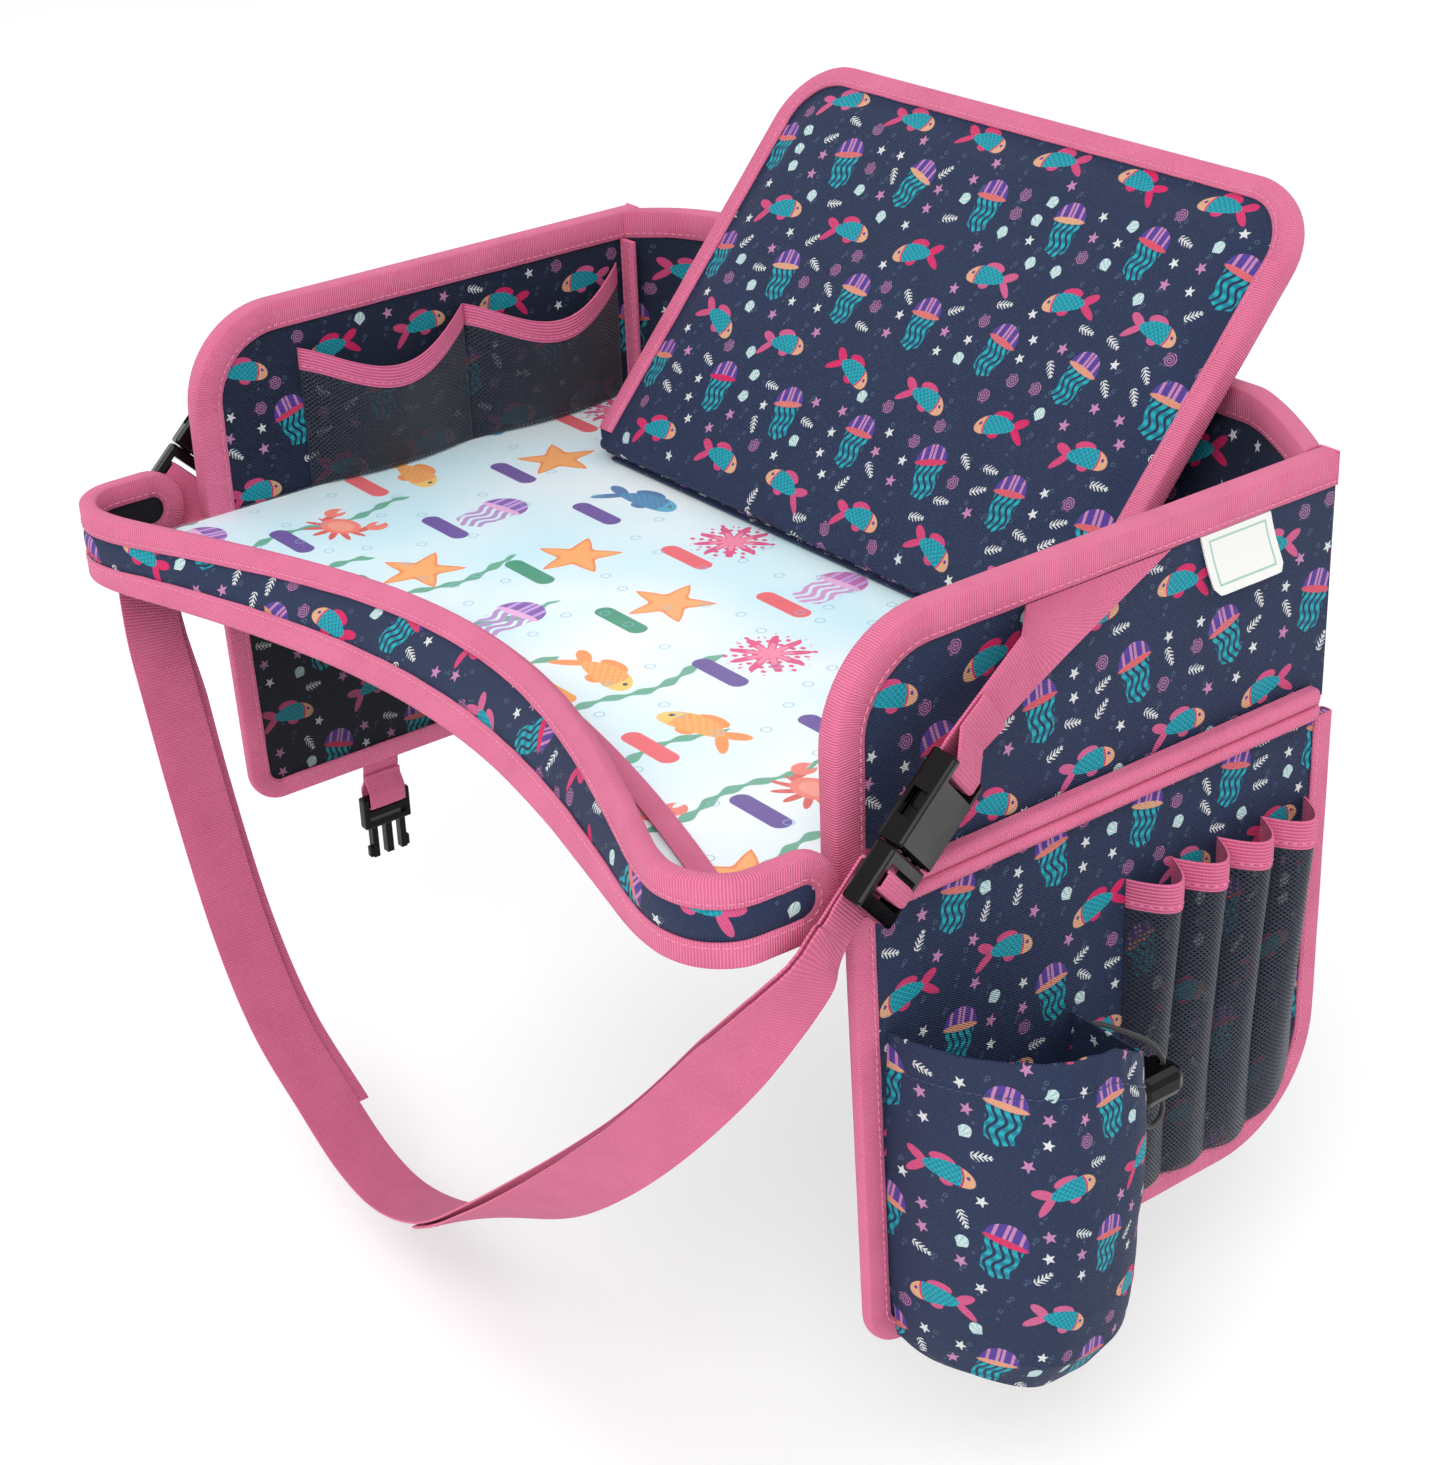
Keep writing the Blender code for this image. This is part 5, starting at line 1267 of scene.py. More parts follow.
def rim():
    """The padded front band, its lining and its binding."""
    path, first, run = RIM.path(TAPE_PITCH)
    middle = RIM_STACK / 2

    def reach(s):
        short = max(0, first - s, s - (RIM.last - first)) / first
        return RIM_END_R * (1 - math.sqrt(max(0, 1 - short**2)))

    def top(s):
        return RIM.height(s) - reach(s)

    end = [first * (1 - math.cos(math.radians(a))) for a in range(10, 90, 10)]
    columns = end + run + [RIM.last - s for s in reversed(end)]

    def puff(s, h):
        tall = RIM.height(s)
        inside = min(h, tall - h, (min(s, RIM.last - s)) * RIM_PITCH) - RIM_LEG + 0.001
        rise = 0.0014 * math.sin(min(1, max(0, inside / 0.006)) * math.pi / 2)
        return middle + rise * (1 + 0.35 * ripple(s * RIM_PITCH, h, 0.018, 1.0))

    pad = plate("front_rim_pad", RIM.place, columns, reach, top, middle - RIM_PAD_T, puff, "printed_twill",
                "tray", "printed_twill", ["rim_pad"], RIM_PITCH, rows=spread(0, 1, 18), turn=RIM_GRAIN)
    plate("front_rim_lining", RIM.place, columns, reach, top,
          waved(-1, middle, 5.0, 0.015, 0.00015, RIM_PITCH), CLOTH_T - middle, "dark_lining", "tray",
          "dark_lining", ["rim_lining"], RIM_PITCH, rows=spread(0, 1, 14))
    tape("front_rim_binding", RIM.place, path, middle + 2 * GAP, RIM_LEG, "tray", ["rim_binding"], wrap=True,
         seed=11)


def side_surface(side):
    return lambda s, h, n: Vector((side * (SIDE_X + n), NOSE - TRAY_D / 2 + s, WALL_FOOT + h))


def back_surface(s, h, n):
    x = s - INSIDE_X
    tall = WALL_TOP - NOSE - WALL_FOOT - WALL_LEG
    flat, power = (PANEL_W / 2, BACK_BOW_RIGHT_POWER) if x > 0 else (0, BACK_BOW_POWER)
    share = max(0, abs(x) - flat) / (INSIDE_X - flat)
    bow = BACK_BOW * min(1, h / tall) * (1 - share**power)
    return Vector((x, BACK_Y + bow + n, WALL_FOOT + h))


def wall(name, surface, columns, top, path, seed):
    """A wall's two cloths and the binding on its free edges."""
    half, face = WALL_STACK / 2, WALL_STACK / 2 - CLOTH_T
    for layer, inner, outer, look in (
        ("outer", face, waved(1, half, seed, 0.035, 0.00014), "printed_twill"),
        # the inner cloth takes the darker copy of the print, which is painted shade
        ("inner", waved(-1, half, seed + 3, 0.035, 0.00014), -face, "wall_twill"),
    ):
        plate(f"{name}_{layer}_cloth", surface, columns, 0, top, inner, outer, look, "tray", "printed_twill",
              [f"{name}_wall_{layer}"])
    tape(f"{name}_top_binding", surface, path, half + GAP, WALL_LEG, "tray", [f"{name}_wall_binding"],
         seed=seed)


def walls():
    """The side walls and the bowed back wall, which has its core as well."""
    tall = WALL_TOP - NOSE - WALL_FOOT
    long = TRAY_D - 2 * NOSE
    radius = WALL_CORNER_R

    def side_top(s):
        return tall - corner_drop(radius, radius - s)

    columns = corner_steps(radius)[:-1] + steps(radius, long, CLOTH_PITCH)
    corners = [(0, 0, 0), (0, tall, radius), (long, tall, 0)]
    path = [(place, (-ds, -dh)) for place, (ds, dh) in edge_path(corners, TAPE_PITCH)]
    for name, side, seed in (("right", 1, 20), ("left", -1, 40)):
        wall(name, side_surface(side), columns, side_top, path, seed)
    columns = [INSIDE_X * (1 - math.cos(math.pi * share)) for share in spread(0, 1, BACK_COLUMNS)]
    path = [((s, tall), (0, -1)) for s in columns]
    wall("back", back_surface, columns, tall, path, 60)
    half = WALL_BOARD_T / 2
    plate("back_core", back_surface, columns, 0, tall, -half, half, "board", "tray", "board",
          ["back_wall_board"], rows=steps(0, 1, 0.1))


def turn_round(centre, radius, start, end, count=8):
    """Places on an arc round a centre, from one angle to another."""
    angles = [math.radians(a) for a in spread(start, end, count)]
    return [(centre[0] + radius * math.cos(a), centre[1] + radius * math.sin(a)) for a in angles]


def bar(name, low, high, round_off, look, nodes=(), sew=()):
    """An upright strip of cloth or tape with rounded long edges, sewn to the tray."""
    size = [b - a for a, b in zip(low, high)]
    middle = [(a + b) / 2 for a, b in zip(low, high)]
    loop = []
    for quarter, (c, s) in enumerate(((1, 1), (-1, 1), (-1, -1), (1, -1))):
        centre = (middle[0] + c * (size[0] / 2 - round_off), middle[1] + s * (size[1] / 2 - round_off))
        loop += turn_round(centre, round_off, 90 * quarter, 90 * (quarter + 1), 3)
    loops, uvs, marks = [], [], lengths(loop)
    for z in steps(low[2], high[2], TAPE_PITCH):
        loops.append([Vector((x, y, z)) for x, y in loop])
        uvs.append([(z, mark) for mark in marks])
    made = Build()
    made.sweep(loops, uvs, flip=True)
    for line, up in sew:
        made.stitches(line, [up] * len(line))
    return made.finish(name, [look, "pink_thread"], "tray", look, nodes)


def corner_tapes():
    """The bindings that stand in the two inner corners at the back."""
    low, high = TRAY_TOP + GAP, WALL_TOP - WALL_LEG - NOSE
    face = INSIDE_Y
    for name, side in (("right", 1), ("left", -1)):
        outer = side * INSIDE_X
        near, far = sorted((outer, outer - side * CORNER_TAPE_W))
        y = face - CORNER_TAPE_T
        lines = [([Vector((x, y, z)) for z in steps(low + 0.002, high - 0.002, 0.003)], Vector((0, -1, 0)))
                 for x in (near + 0.0016, far - 0.0016)]
        bar(f"{name}_corner_binding", (near, y, low), (far, face, high), CORNER_TAPE_T / 3, "pink_grosgrain",
            [f"{name}_corner_tape"], lines)


def rear_ends():
    """Cloth and tape turned over the side walls' rear ends."""
    near, far = TRAY_D / 2 - NOSE, TRAY_D / 2 - NOSE + CLOTH_T
    seam = WALL_TOP - WALL_LEG - NOSE
    for name, side in (("right", 1), ("left", -1)):
        for part, half, low, high, look in (
            ("cloth", WALL_STACK / 2, WALL_FOOT, seam, "printed_twill"),
            ("tape", WALL_HALF, seam, WALL_TOP, "pink_grosgrain"),
        ):
            bar(f"{name}_rear_{part}", (side * SIDE_X - half, near, low), (side * SIDE_X + half, far, high),
                CLOTH_T / 3, look)


def seam_rolls():
    """The bound seam along the foot of each side wall: two small rolls, one over the other."""
    start = TRAY_W / 2 + GAP
    radius = SEAM_ROLL_H / 4
    middle = SEAM_ROLL_H / 2 - SEAM_ROLL_FOOT
    shape = []
    for centre in (middle + radius, middle - radius):
        for i in range(13):
            angle = math.radians(90 - 15 * i)
            shape.append((SEAM_ROLL_T - radius + radius * math.cos(angle) * 0.98,
                          centre + radius * math.sin(angle) * 0.98))
    loop = shape + [(0, shape[-1][1]), (0, shape[0][1])]
    marks = lengths(loop)
    low, high = SEAM_ROLL_FRONT - TRAY_D / 2, TRAY_D / 2 + SEAM_ROLL_BACK
    for name, side in (("right", 1), ("left", -1)):
        loops, uvs, seam = [], [], []
        ends = [SEAM_ROLL_T * (1 - math.cos(math.radians(a))) for a in (12, 30, 48, 66)]
        for y in [*(low + d for d in ends), *steps(low + SEAM_ROLL_T, high - SEAM_ROLL_T, TAPE_PITCH),
                  *(high - d for d in reversed(ends))]:
            short = max(0, 1 - min(y - low, high - y) / SEAM_ROLL_T)
            swell = (1 + 0.03 * ripple(y, side, 0.012, 9)) * math.sqrt(1 - short**2)
            loops.append([Vector((side * (start + x * swell), y,
                                  middle + (z - middle) * math.sqrt(1 - short**4)))
                          for x, z in loop])
            uvs.append([(y, mark) for mark in marks])
            seam.append(Vector((side * (start + SEAM_ROLL_T - radius * 0.9), y, middle)))
        made = Build()
        made.sweep(loops, uvs, flip=side < 0)
        made.stitches(seam, [Vector((side, 0, 0))] * len(seam))
        made.finish(f"{name}_foot_piping", ["pink_grosgrain", "pink_thread"], "tray", "pink_grosgrain",
                    [f"{name}_seam_roll"])


def net(name, surface, long, tall, body, nodes):
    """Knitted net with diamond holes over a surface of (u, v) from 0 to 1."""
    wide, high = max(2, round(long / NET_CELL) * 2), max(2, round(tall / NET_CELL) * 2)
    made = bmesh.new()
    points = {}

    def point(i, j):
        if (i, j) not in points:
            points[i, j] = made.verts.new(surface(i / wide, j / high, NET_T / 2))
        return points[i, j]

    for i in range(wide + 1):
        for j in range(high + 1):
            if (i + j) % 2:
                ring = [(i - 1, j), (i, j - 1), (i + 1, j), (i, j + 1)]
                ring = [point(a, b) for a, b in ring if 0 <= a <= wide and 0 <= b <= high]
                if len(ring) >= 3:
                    made.faces.new(ring)
    bmesh.ops.recalc_face_normals(made, faces=made.faces)
    cells_made = list(made.faces)
    bmesh.ops.inset_individual(made, faces=cells_made, thickness=NET_STRAND / 2, use_even_offset=True)
    bmesh.ops.delete(made, geom=cells_made, context="FACES_ONLY")
    mesh = bpy.data.meshes.new(name)
    made.to_mesh(mesh)
    made.free()
    mesh.materials.append(LOOKS["navy_net"])
    mesh.shade_smooth()
    thick = placed(name, mesh, body, "navy_net", nodes).modifiers.new("yarn", "SOLIDIFY")
    thick.thickness, thick.offset = NET_STRAND_T, 0


def band(name, surface, us, tall, thick, body, nodes, seed):
    """Elastic along a net's mouth: a folded band whose ribs gather a little."""
    half = thick / 2
    count = 8
    shape = [(v, half) for v in spread(0, 1, count)] + [(v, -half) for v in spread(1, 0, count)]
    loops, uvs, u, last, seam, ups = [], [], 0, None, [], []
    for place in us:
        at = surface(place, 0.5, half)
        u += (at - last).length if last is not None else 0
        last = at
        ring = []
        for v, n in shape:
            roll = 0.00025 * math.sin(v * math.pi) + 0.00012 * ripple(u, v * tall, 0.006, seed)
            ring.append(surface(place, v, half + n + (roll if n > 0 else 0)))
        loops.append(ring)
        uvs.append([(u, v * tall) for v, _ in shape])
        low = surface(place, 0.2, thick)
        seam.append(low)
        ups.append((low - surface(place, 0.2, 0)).normalized())
    made = Build()
    made.sweep(loops, uvs)
    made.stitches(seam, ups)
    return made.finish(name, ["pink_elastic", "pink_thread"], body, "pink_grosgrain", nodes)


def net_pockets():
    """The two sagging net pockets inside the left wall."""
    face = WALL_STACK / 2 - SIDE_X + GAP
    low = TRAY_TOP + GAP
    ends = [share * TRAY_D / 2 for share in NET_END_SHARES]
    for name, start, end, seed in zip(("front", "back"), ends, ends[1:], (3, 5)):
        start, end = start + GAP, end - GAP

        def top(u):
            return NET_TOP - NET_SAG * math.sin(math.pi * min(max(u, 0), 1)) ** 1.3

        def bulge(u, v):
            return NET_BULGE * math.sin(math.pi * min(max(u, 0), 1)) ** 0.8 * (0.45 + 0.55 * v)

        def mesh(u, v, n, start=start, end=end):
            z = low + (top(u) - NET_BAND_H - GAP - low) * v
            return Vector((face + bulge(u, v) + n, start + (end - start) * u, z))

        def edge(u, v, n, start=start, end=end):
            return Vector((face + bulge(u, 1) + n, start + (end - start) * u, top(u) - NET_BAND_H * (1 - v)))

        net(f"{name}_pocket_net", mesh, end - start, NET_TOP - low - NET_BAND_H, "tray", [f"{name}_net"])
        band(f"{name}_pocket_elastic", edge, spread(0, 1, 48), NET_BAND_H, NET_BAND_T, "tray",
             [f"{name}_net_elastic"], seed)


def tag():
    """The blank tag that hangs from the right wall's binding, its foot swung forward."""
    face, high = SIDE_X + WALL_STACK / 2 + GAP, WALL_TOP - WALL_LEG - NOSE - GAP

    def surface(s, h, n):
        v = h / TAG_H
        curl = 0.0006 * ripple(s, h, 0.015, 3.3) * v
        return Vector((face + TAG_LIFT * v**2 + n + max(0, curl), TAG_Y + s + TAG_SWING * v, high - h))

    def foot(s):
        return TAG_H - corner_drop(TAG_CORNER_R, abs(s) - TAG_W / 2 + TAG_CORNER_R)

    plate("side_tag", surface, steps(-TAG_W / 2, TAG_W / 2, 0.002), 0, foot, 0, TAG_T, "white_tag", "tray",
          "white_tag", ["blank_tag"], rows=spread(0, 1, 14))


# ---- buckles and webbing

class Frame:
    """A buckle's own directions: w across it, t along it towards the strap, n out of its wide face."""

    def __init__(self, side, origin, pitch, turn):
        self.origin = Vector(origin)
        self.t = Vector((0, -math.cos(pitch), -math.sin(pitch)))
        lean = Vector((0, math.sin(pitch), -math.cos(pitch)))
        self.n = Vector((side * math.cos(turn), 0, 0)) + lean * math.sin(turn)
        self.w = self.t.cross(self.n)

    def at(self, w, t, n):
        return self.origin + self.w * w + self.t * t + self.n * n


def buckle_frame(side):
    return Frame(side, (side * BUCKLE_X, BUCKLE_Y, BUCKLE_Z), BUCKLE_PITCH, BUCKLE_TURN)


def anchor_webbing():
    """The webbing from under each side wall's binding round its buckle's bar, with a turn on the way."""
    radius = WEBBING_T
    far = BAR_T / 2 + WEBBING_GAP + WEBBING_T / 2
    past = BAR_L + WEBBING_GAP + WEBBING_T / 2
    local = [(0, -far), *turn_round((past - radius, radius - far), radius, -90, 0)]
    local += [*turn_round((past - radius, far - radius), radius, 0, 90), (0, far)]
    for name, side in (("right", 1), ("left", -1)):
        buckle = buckle_frame(side)
        wall_x = side * (SIDE_X + WALL_STACK / 2 + GAP + WEBBING_T / 2)
        start = Vector((wall_x, ANCHOR_Y, WALL_TOP - WALL_LEG - NOSE - GAP))
        low = buckle.at(0, -ANCHOR_BEND_L, -far)
        way = (low - start).normalized()
        sign = math.copysign(1, buckle.w.y)
        cut = Vector((0, sign / abs(way.z), 0))
        square = Vector((0, sign * abs(way.z), -sign * abs(way.y))).normalized()
        back = ANCHOR_RETURN_L / (low - start).length
        lead, returned = [(start, cut)], []
        first = ANCHOR_SQUARE_SHARE
        for share in [*spread(0, first, 6)[1:], *spread(first, 1 - back, 6)[1:], *spread(1 - back, 1, 6)[1:]]:
            place = start.lerp(low, share)
            if share < first:
                across = cut.lerp(square.lerp(buckle.w, first), share / first)
            else:
                across = square.lerp(buckle.w, share).normalized()
            lead.append((place, across))
            if 1 - back - 0.001 < share < 1:
                returned.append((place + across.cross(way).normalized() * (WEBBING_T + WEBBING_GAP), across))
        bend = [(buckle.at(0, t, n), buckle.w) for t, n in local]
        centres, widths = zip(*lead, *bend, *reversed(returned))
        webbing(f"{name}_anchor", centres, widths, WEBBING_W, WEBBING_T, "tray", [f"{name}_anchor_webbing"])


def strap():
    """The waist strap in one webbing: its hanging loop, its turns round both adjusters' bars, its tails."""
    slot_1 = FEMALE_L + SIDE_CLEARANCE + MALE_BARS[0]
    slot_2 = slot_1 + SLOT_L + MALE_BARS[1]
    bar_start, bar_end = slot_1 + SLOT_L, slot_2
    thick = MALE_T / 2
    inner = thick + WEBBING_GAP + WEBBING_T / 2
    under = inner + WEBBING_T + WEBBING_GAP
    radius = WEBBING_T
    low_1 = bar_start - WEBBING_GAP - WEBBING_T / 2
    high_2 = bar_end + WEBBING_GAP + WEBBING_T / 2
    end = FEMALE_L + SIDE_CLEARANCE + MALE_L
    overrun = 0.002
    main = [(end + overrun, -under), (bar_end, -under), (bar_start + radius, -under)]
    main += turn_round((low_1 + radius, radius - under), radius, -90, -180)
    main += turn_round((low_1 + radius, inner - radius), radius, 180, 90)
    main += turn_round((high_2 - radius, inner - radius), radius, 90, 0)
    main += turn_round((high_2 + radius, radius - inner), radius, -180, -90)
    main += [(end, -inner), (end + 2 * overrun, -inner)]
    frames = [buckle_frame(1), buckle_frame(-1)]
    leads = [[f.at(0, end + 2 * overrun + more, -under) for more in (0, STRAP_LEAD)] for f in frames]
    hung = [Vector((BUCKLE_X * share, -TRAY_D / 2 - y, z))
            for share, ((y, z), _) in zip(STRAP_X_SHARES, STRAP_ROUTE)]
    points = [*leads[0], *hung, *leads[1][::-1]]
    ways = [-frames[0].w, -frames[0].w, *[Vector(w).normalized() for _, w in STRAP_ROUTE], frames[1].w,
            frames[1].w]
    line, turns = smooth_line(points, 12), smooth_line(ways, 12)
    along = lengths(line)
    count = round(along[-1] / STRAP_STEP)
    hang, widths = [], []
    for place in spread(0, along[-1], count):
        k = max(i for i in range(len(along) - 1) if along[i] <= place)
        share = (place - along[k]) / (along[k + 1] - along[k])
        ahead = (line[k + 1] - line[k]).normalized()
        across = turns[k].lerp(turns[k + 1], share)
        hang.append(line[k].lerp(line[k + 1], share))
        widths.append((across - ahead * across.dot(ahead)).normalized())

    def tail(from_right):
        order = range(count + 1) if from_right else range(count, -1, -1)
        chosen = order[1 : int((RIGHT_TAIL_SHARE if from_right else LEFT_TAIL_SHARE) * count)]
        places = []
        for k, i in enumerate(chosen):
            ahead = hang[min(i + 1, count)] - hang[max(i - 1, 0)]
            away = ahead.cross(widths[i]).normalized()
            lift = WEBBING_T + 2 * WEBBING_GAP + TAIL_LIFT * math.sin(math.pi * k / len(chosen)) ** 2
            slip = 0 if from_right else LEFT_TAIL_SLIP * min(1, k / (0.3 * len(chosen)))
            places.append((hang[i] + away * lift + widths[i] * slip, widths[i]))
        return places

    left = [(frames[1].at(0, t, n), frames[1].w) for t, n in main]
    right = [(frames[0].at(0, t, n), -frames[0].w) for t, n in main]
    loop = list(zip(hang, widths))[-2:0:-1]
    whole = tail(False)[::-1] + left[::-1] + loop + right + tail(True)
    centres, sides = zip(*whole)
    webbing("waist_webbing", centres, sides, WEBBING_W, WEBBING_T, "waist_belt", ["waist_strap"],
            sew=[(2, 5, 1), (len(whole) - 5, len(whole) - 2, 1)])


def clip_tabs():
    """The short folded webbings that hold the flaps' two clip halves."""
    hem = LEFT_FLAP_BOTTOM - CLIP_PIVOT_DROP
    inside = TRAY_W / 2 - FLAP_STACK / 2 - GAP - BUCKLE_T * CLIP_SCALE_SHARE / 2 - WEBBING_T
    hang = FLAP_AXIS_Z - RIGHT_CLIP_DROP
    width = WEBBING_W * CLIP_SCALE_SHARE
    bar_far = (BAR_T / 2) * CLIP_SCALE_SHARE + WEBBING_GAP + WEBBING_T / 2
    radius = WEBBING_T
    near = (WEBBING_T + WEBBING_GAP) / 2
    sewn = TRAY_W / 2 - FLAP_STACK / 2 - GAP - WEBBING_T / 2 - inside
    for name, side, x, top, off in (("left", -1, -TRAY_W / 2, hem, 0), ("right", 1, inside, hang, sewn)):
        male = name == "left"
        clip = Frame(side, (x, CLIP_Y, top - CLIP_TAB_L), math.radians(90), 0)
        bar_l = (MALE_L - MALE_BARS[0] - 2 * SLOT_L - MALE_BARS[1] if male else BAR_L) * CLIP_SCALE_SHARE
        thick = (MALE_T / 2 * CLIP_SCALE_SHARE + WEBBING_GAP + WEBBING_T / 2) if male else bar_far
        past = bar_l + WEBBING_GAP + WEBBING_T / 2
        middle = max(0, off - near)
        short, mid, low, high = [-CLIP_TAB_L * share for share in CLIP_TAB_SHARES]
        local = [(short, middle - near), (mid, middle - near), (low, -thick), (0, -thick)]
        local += turn_round((past - radius, radius - thick), radius, -90, 0)
        local += turn_round((past - radius, thick - radius), radius, 0, 90)
        local += [(0, thick), (low, thick), (mid, middle + near), (short, middle + near), (high, off),
                  (-CLIP_TAB_L, off)]
        centres = [clip.at(0, t, n) for t, n in local]
        webbing(f"{name}_clip_tab", centres, [clip.w] * len(centres), width, WEBBING_T, f"{name}_tab",
                [f"{name}_clip_webbing"])


# ---- tablet panel

def panel():
    """The padded tablet panel at its slope, with its binding, its foot and its hinge strip."""
    axis = Vector((0, PANEL_Y, TRAY_TOP + PANEL_AXIS_RISE))
    wall_edge = WALL_TOP - NOSE - WALL_FOOT
    lean = 0
    half = WALL_STACK / 2 + GAP
    turn = [math.pi * i / 3 for i in range(4)]
    nose = [(-(TAPE_LIP + TAPE_T) * math.sin(a), (half + TAPE_T) * math.cos(a)) for a in turn]
    for a, n in [(WALL_LEG, half + TAPE_T), *nose, (WALL_LEG, -half - TAPE_T)]:
        touch = back_surface(INSIDE_X - PANEL_W / 2, wall_edge + a, n) - axis
        reach = math.hypot(touch.y, touch.z)
        lean = max(lean, math.atan2(touch.z, touch.y) + math.asin((PANEL_HALF + GAP) / reach))
    up = Vector((0, math.cos(lean), math.sin(lean)))
    out = Vector((0, -math.sin(lean), math.cos(lean)))
    half_w = PANEL_W / 2 - NOSE
    tall = PANEL_L - NOSE

    def surface(s, h, n):
        return axis + Vector((s, 0, 0)) + up * h + out * n

    def low(s):
        return max(0, abs(s) - (half_w - PANEL_FOOT_R))

    def high(s):
        return tall - corner_drop(PANEL_R, abs(s) - half_w + PANEL_R)

    def crown(s, h):
        along, above = max(0, abs(s) - half_w + PANEL_R), max(0, h - tall + PANEL_R)
        edge = min(half_w - abs(s), tall - h)
        if along and above:
            edge = PANEL_R - math.hypot(along, above)
        rise = min(1, max(0, edge - PANEL_LEG - PANEL_FLAT) / PANEL_CROWN_L)
        foot = min(1, max(0, h / PANEL_CROWN_L))
        full = math.sin(rise * math.pi / 2) * math.sin(foot * math.pi / 2)
        crease = 0.0006 * ripple(s, h, 0.045, 2.2) * full
        return PANEL_STACK / 2 + PANEL_CROWN * full + crease

    side = [half_w - place for place in corner_steps(PANEL_R)]
    columns = [-s for s in side] + steps(PANEL_R - half_w, half_w - PANEL_R, CLOTH_PITCH)[1:-1] + side[::-1]
    middle = PANEL_STACK / 2
    pad = plate("tablet_panel_pad", surface, columns, low, high, middle - PANEL_PAD_T, crown, "printed_twill",
                "tablet_panel", "printed_twill", ["panel_pad"])
    plate("tablet_panel_back", surface, columns, lambda s: low(s) - PANEL_BACK_DROP, high,
          waved(-1, middle, 8.0),
          CLOTH_T - middle, "printed_twill", "tablet_panel", "printed_twill", ["panel_back"])
    corners = [(half_w, PANEL_FOOT_R, 0), (half_w, tall, PANEL_R), (-half_w, tall, PANEL_R),
               (-half_w, PANEL_FOOT_R, 0)]
    tape("tablet_panel_binding", surface, edge_path(corners, TAPE_PITCH), middle + GAP, PANEL_LEG,
         "tablet_panel", ["panel_binding"], seed=80)
    panel_foot(axis, up, out, half_w)


def panel_foot(axis, up, out, half_w):
    """The hinge strip that is sewn to the tray and the panel's rolled foot above it."""

    def strip(s, h, n):
        lift = HINGE_STRIP_LIFT * math.sin(math.pi * h / (HINGE_STRIP_FRONT + HINGE_STRIP_BACK)) ** 2
        return Vector((s, PANEL_Y - HINGE_STRIP_FRONT + h, TRAY_TOP + GAP + lift + n))

    half = half_w - HINGE_STRIP_IN
    plate("panel_hinge_cloth", strip, steps(-half, half, 0.006), 0, HINGE_STRIP_FRONT + HINGE_STRIP_BACK, 0,
          CLOTH_T, "printed_twill", "tray", "dark_lining", ["panel_hinge_strip"], rows=spread(0, 1, 12))
    radius = PANEL_STACK / 2 - CLOTH_T

    def roll(s, h, n):
        angle = h / radius
        return axis + Vector((s, 0, 0)) + (out * math.cos(angle) - up * math.sin(angle)) * (radius + n)

    half = half_w - PANEL_FOOT_R
    plate("panel_foot_roll", roll, steps(-half, half, SHEET_PITCH), 0,
          radius * math.radians(PANEL_ROLL_DEGREES), 0,
          CLOTH_T, "printed_twill", "tablet_panel", "printed_twill", [], rows=spread(0, 1, 10))


# ---- side flaps

def flap_surface(side):
    """A flap as a surface: s runs back along it, h up and n outwards. Its front edge leans."""
    long = FLAP_BACK - FLAP_FRONT - 2 * NOSE

    def surface(s, h, n):
        lean = FLAP_LEAN * (1 - s / long) * (FLAP_AXIS_Z - h) / (FLAP_AXIS_Z - RIGHT_FLAP_BOTTOM)
        return Vector((side * (TRAY_W / 2 + n), FLAP_FRONT + NOSE + s + lean, h))

    return surface


def flap(name, side, bottom, back_r, seed):
    """A side flap's two cloths and its binding."""
    surface = flap_surface(side)
    long = FLAP_BACK - FLAP_FRONT - 2 * NOSE
    low = bottom + NOSE

    def foot(s):
        return low + corner_drop(FLAP_FRONT_R, FLAP_FRONT_R - s) + corner_drop(back_r, s - (long - back_r))

    top = FLAP_AXIS_Z + FLAP_TOP_RISE
    front, back = corner_steps(FLAP_FRONT_R), [long - place for place in corner_steps(back_r)]
    columns = front + steps(FLAP_FRONT_R, long - back_r, CLOTH_PITCH)[1:-1] + back[::-1]
    middle = FLAP_STACK / 2
    body = f"{name}_flap"
    pad = plate(f"{name}_flap_cloth", surface, columns, foot, top, middle - FLAP_PAD_T,
                waved(1, middle, seed), "printed_twill", body, "printed_twill", [f"{name}_flap_panel"])
    # the inner cloth takes the darker copy of the print, which is painted shade
    plate(f"{name}_flap_inner_cloth", surface, columns, foot, top, waved(-1, middle, seed + 4),
          CLOTH_T - middle, "inner_twill", body, "printed_twill", [f"{name}_flap_lining"])
    corners = [(0, top, 0), (0, low, FLAP_FRONT_R), (long, low, back_r), (long, top, 0)]
    tape(f"{name}_flap_edge", surface, edge_path(corners, TAPE_PITCH), middle + GAP, FLAP_LEG, body,
         [f"{name}_flap_binding"], seed=seed)


def curve_through(table, at):
    """Values between the rows of a table, on smooth curves, by its first column."""
    rows = [table[0], *table, table[-1]]
    i = next(i for i in range(len(table) - 1) if at <= table[i + 1][0] or i == len(table) - 2)
    low, high = table[i][0], table[i + 1][0]
    t = min(max((at - low) / (high - low), 0), 1)
    out = []
    for column in range(1, len(table[0])):
        a, b, c, d = [row[column] for row in rows[i : i + 4]]
        turns_back = (b - a) * (d - c) < 0
        out.append(b + (c - b) * (t * t * (3 - 2 * t) if turns_back else t))
    return out


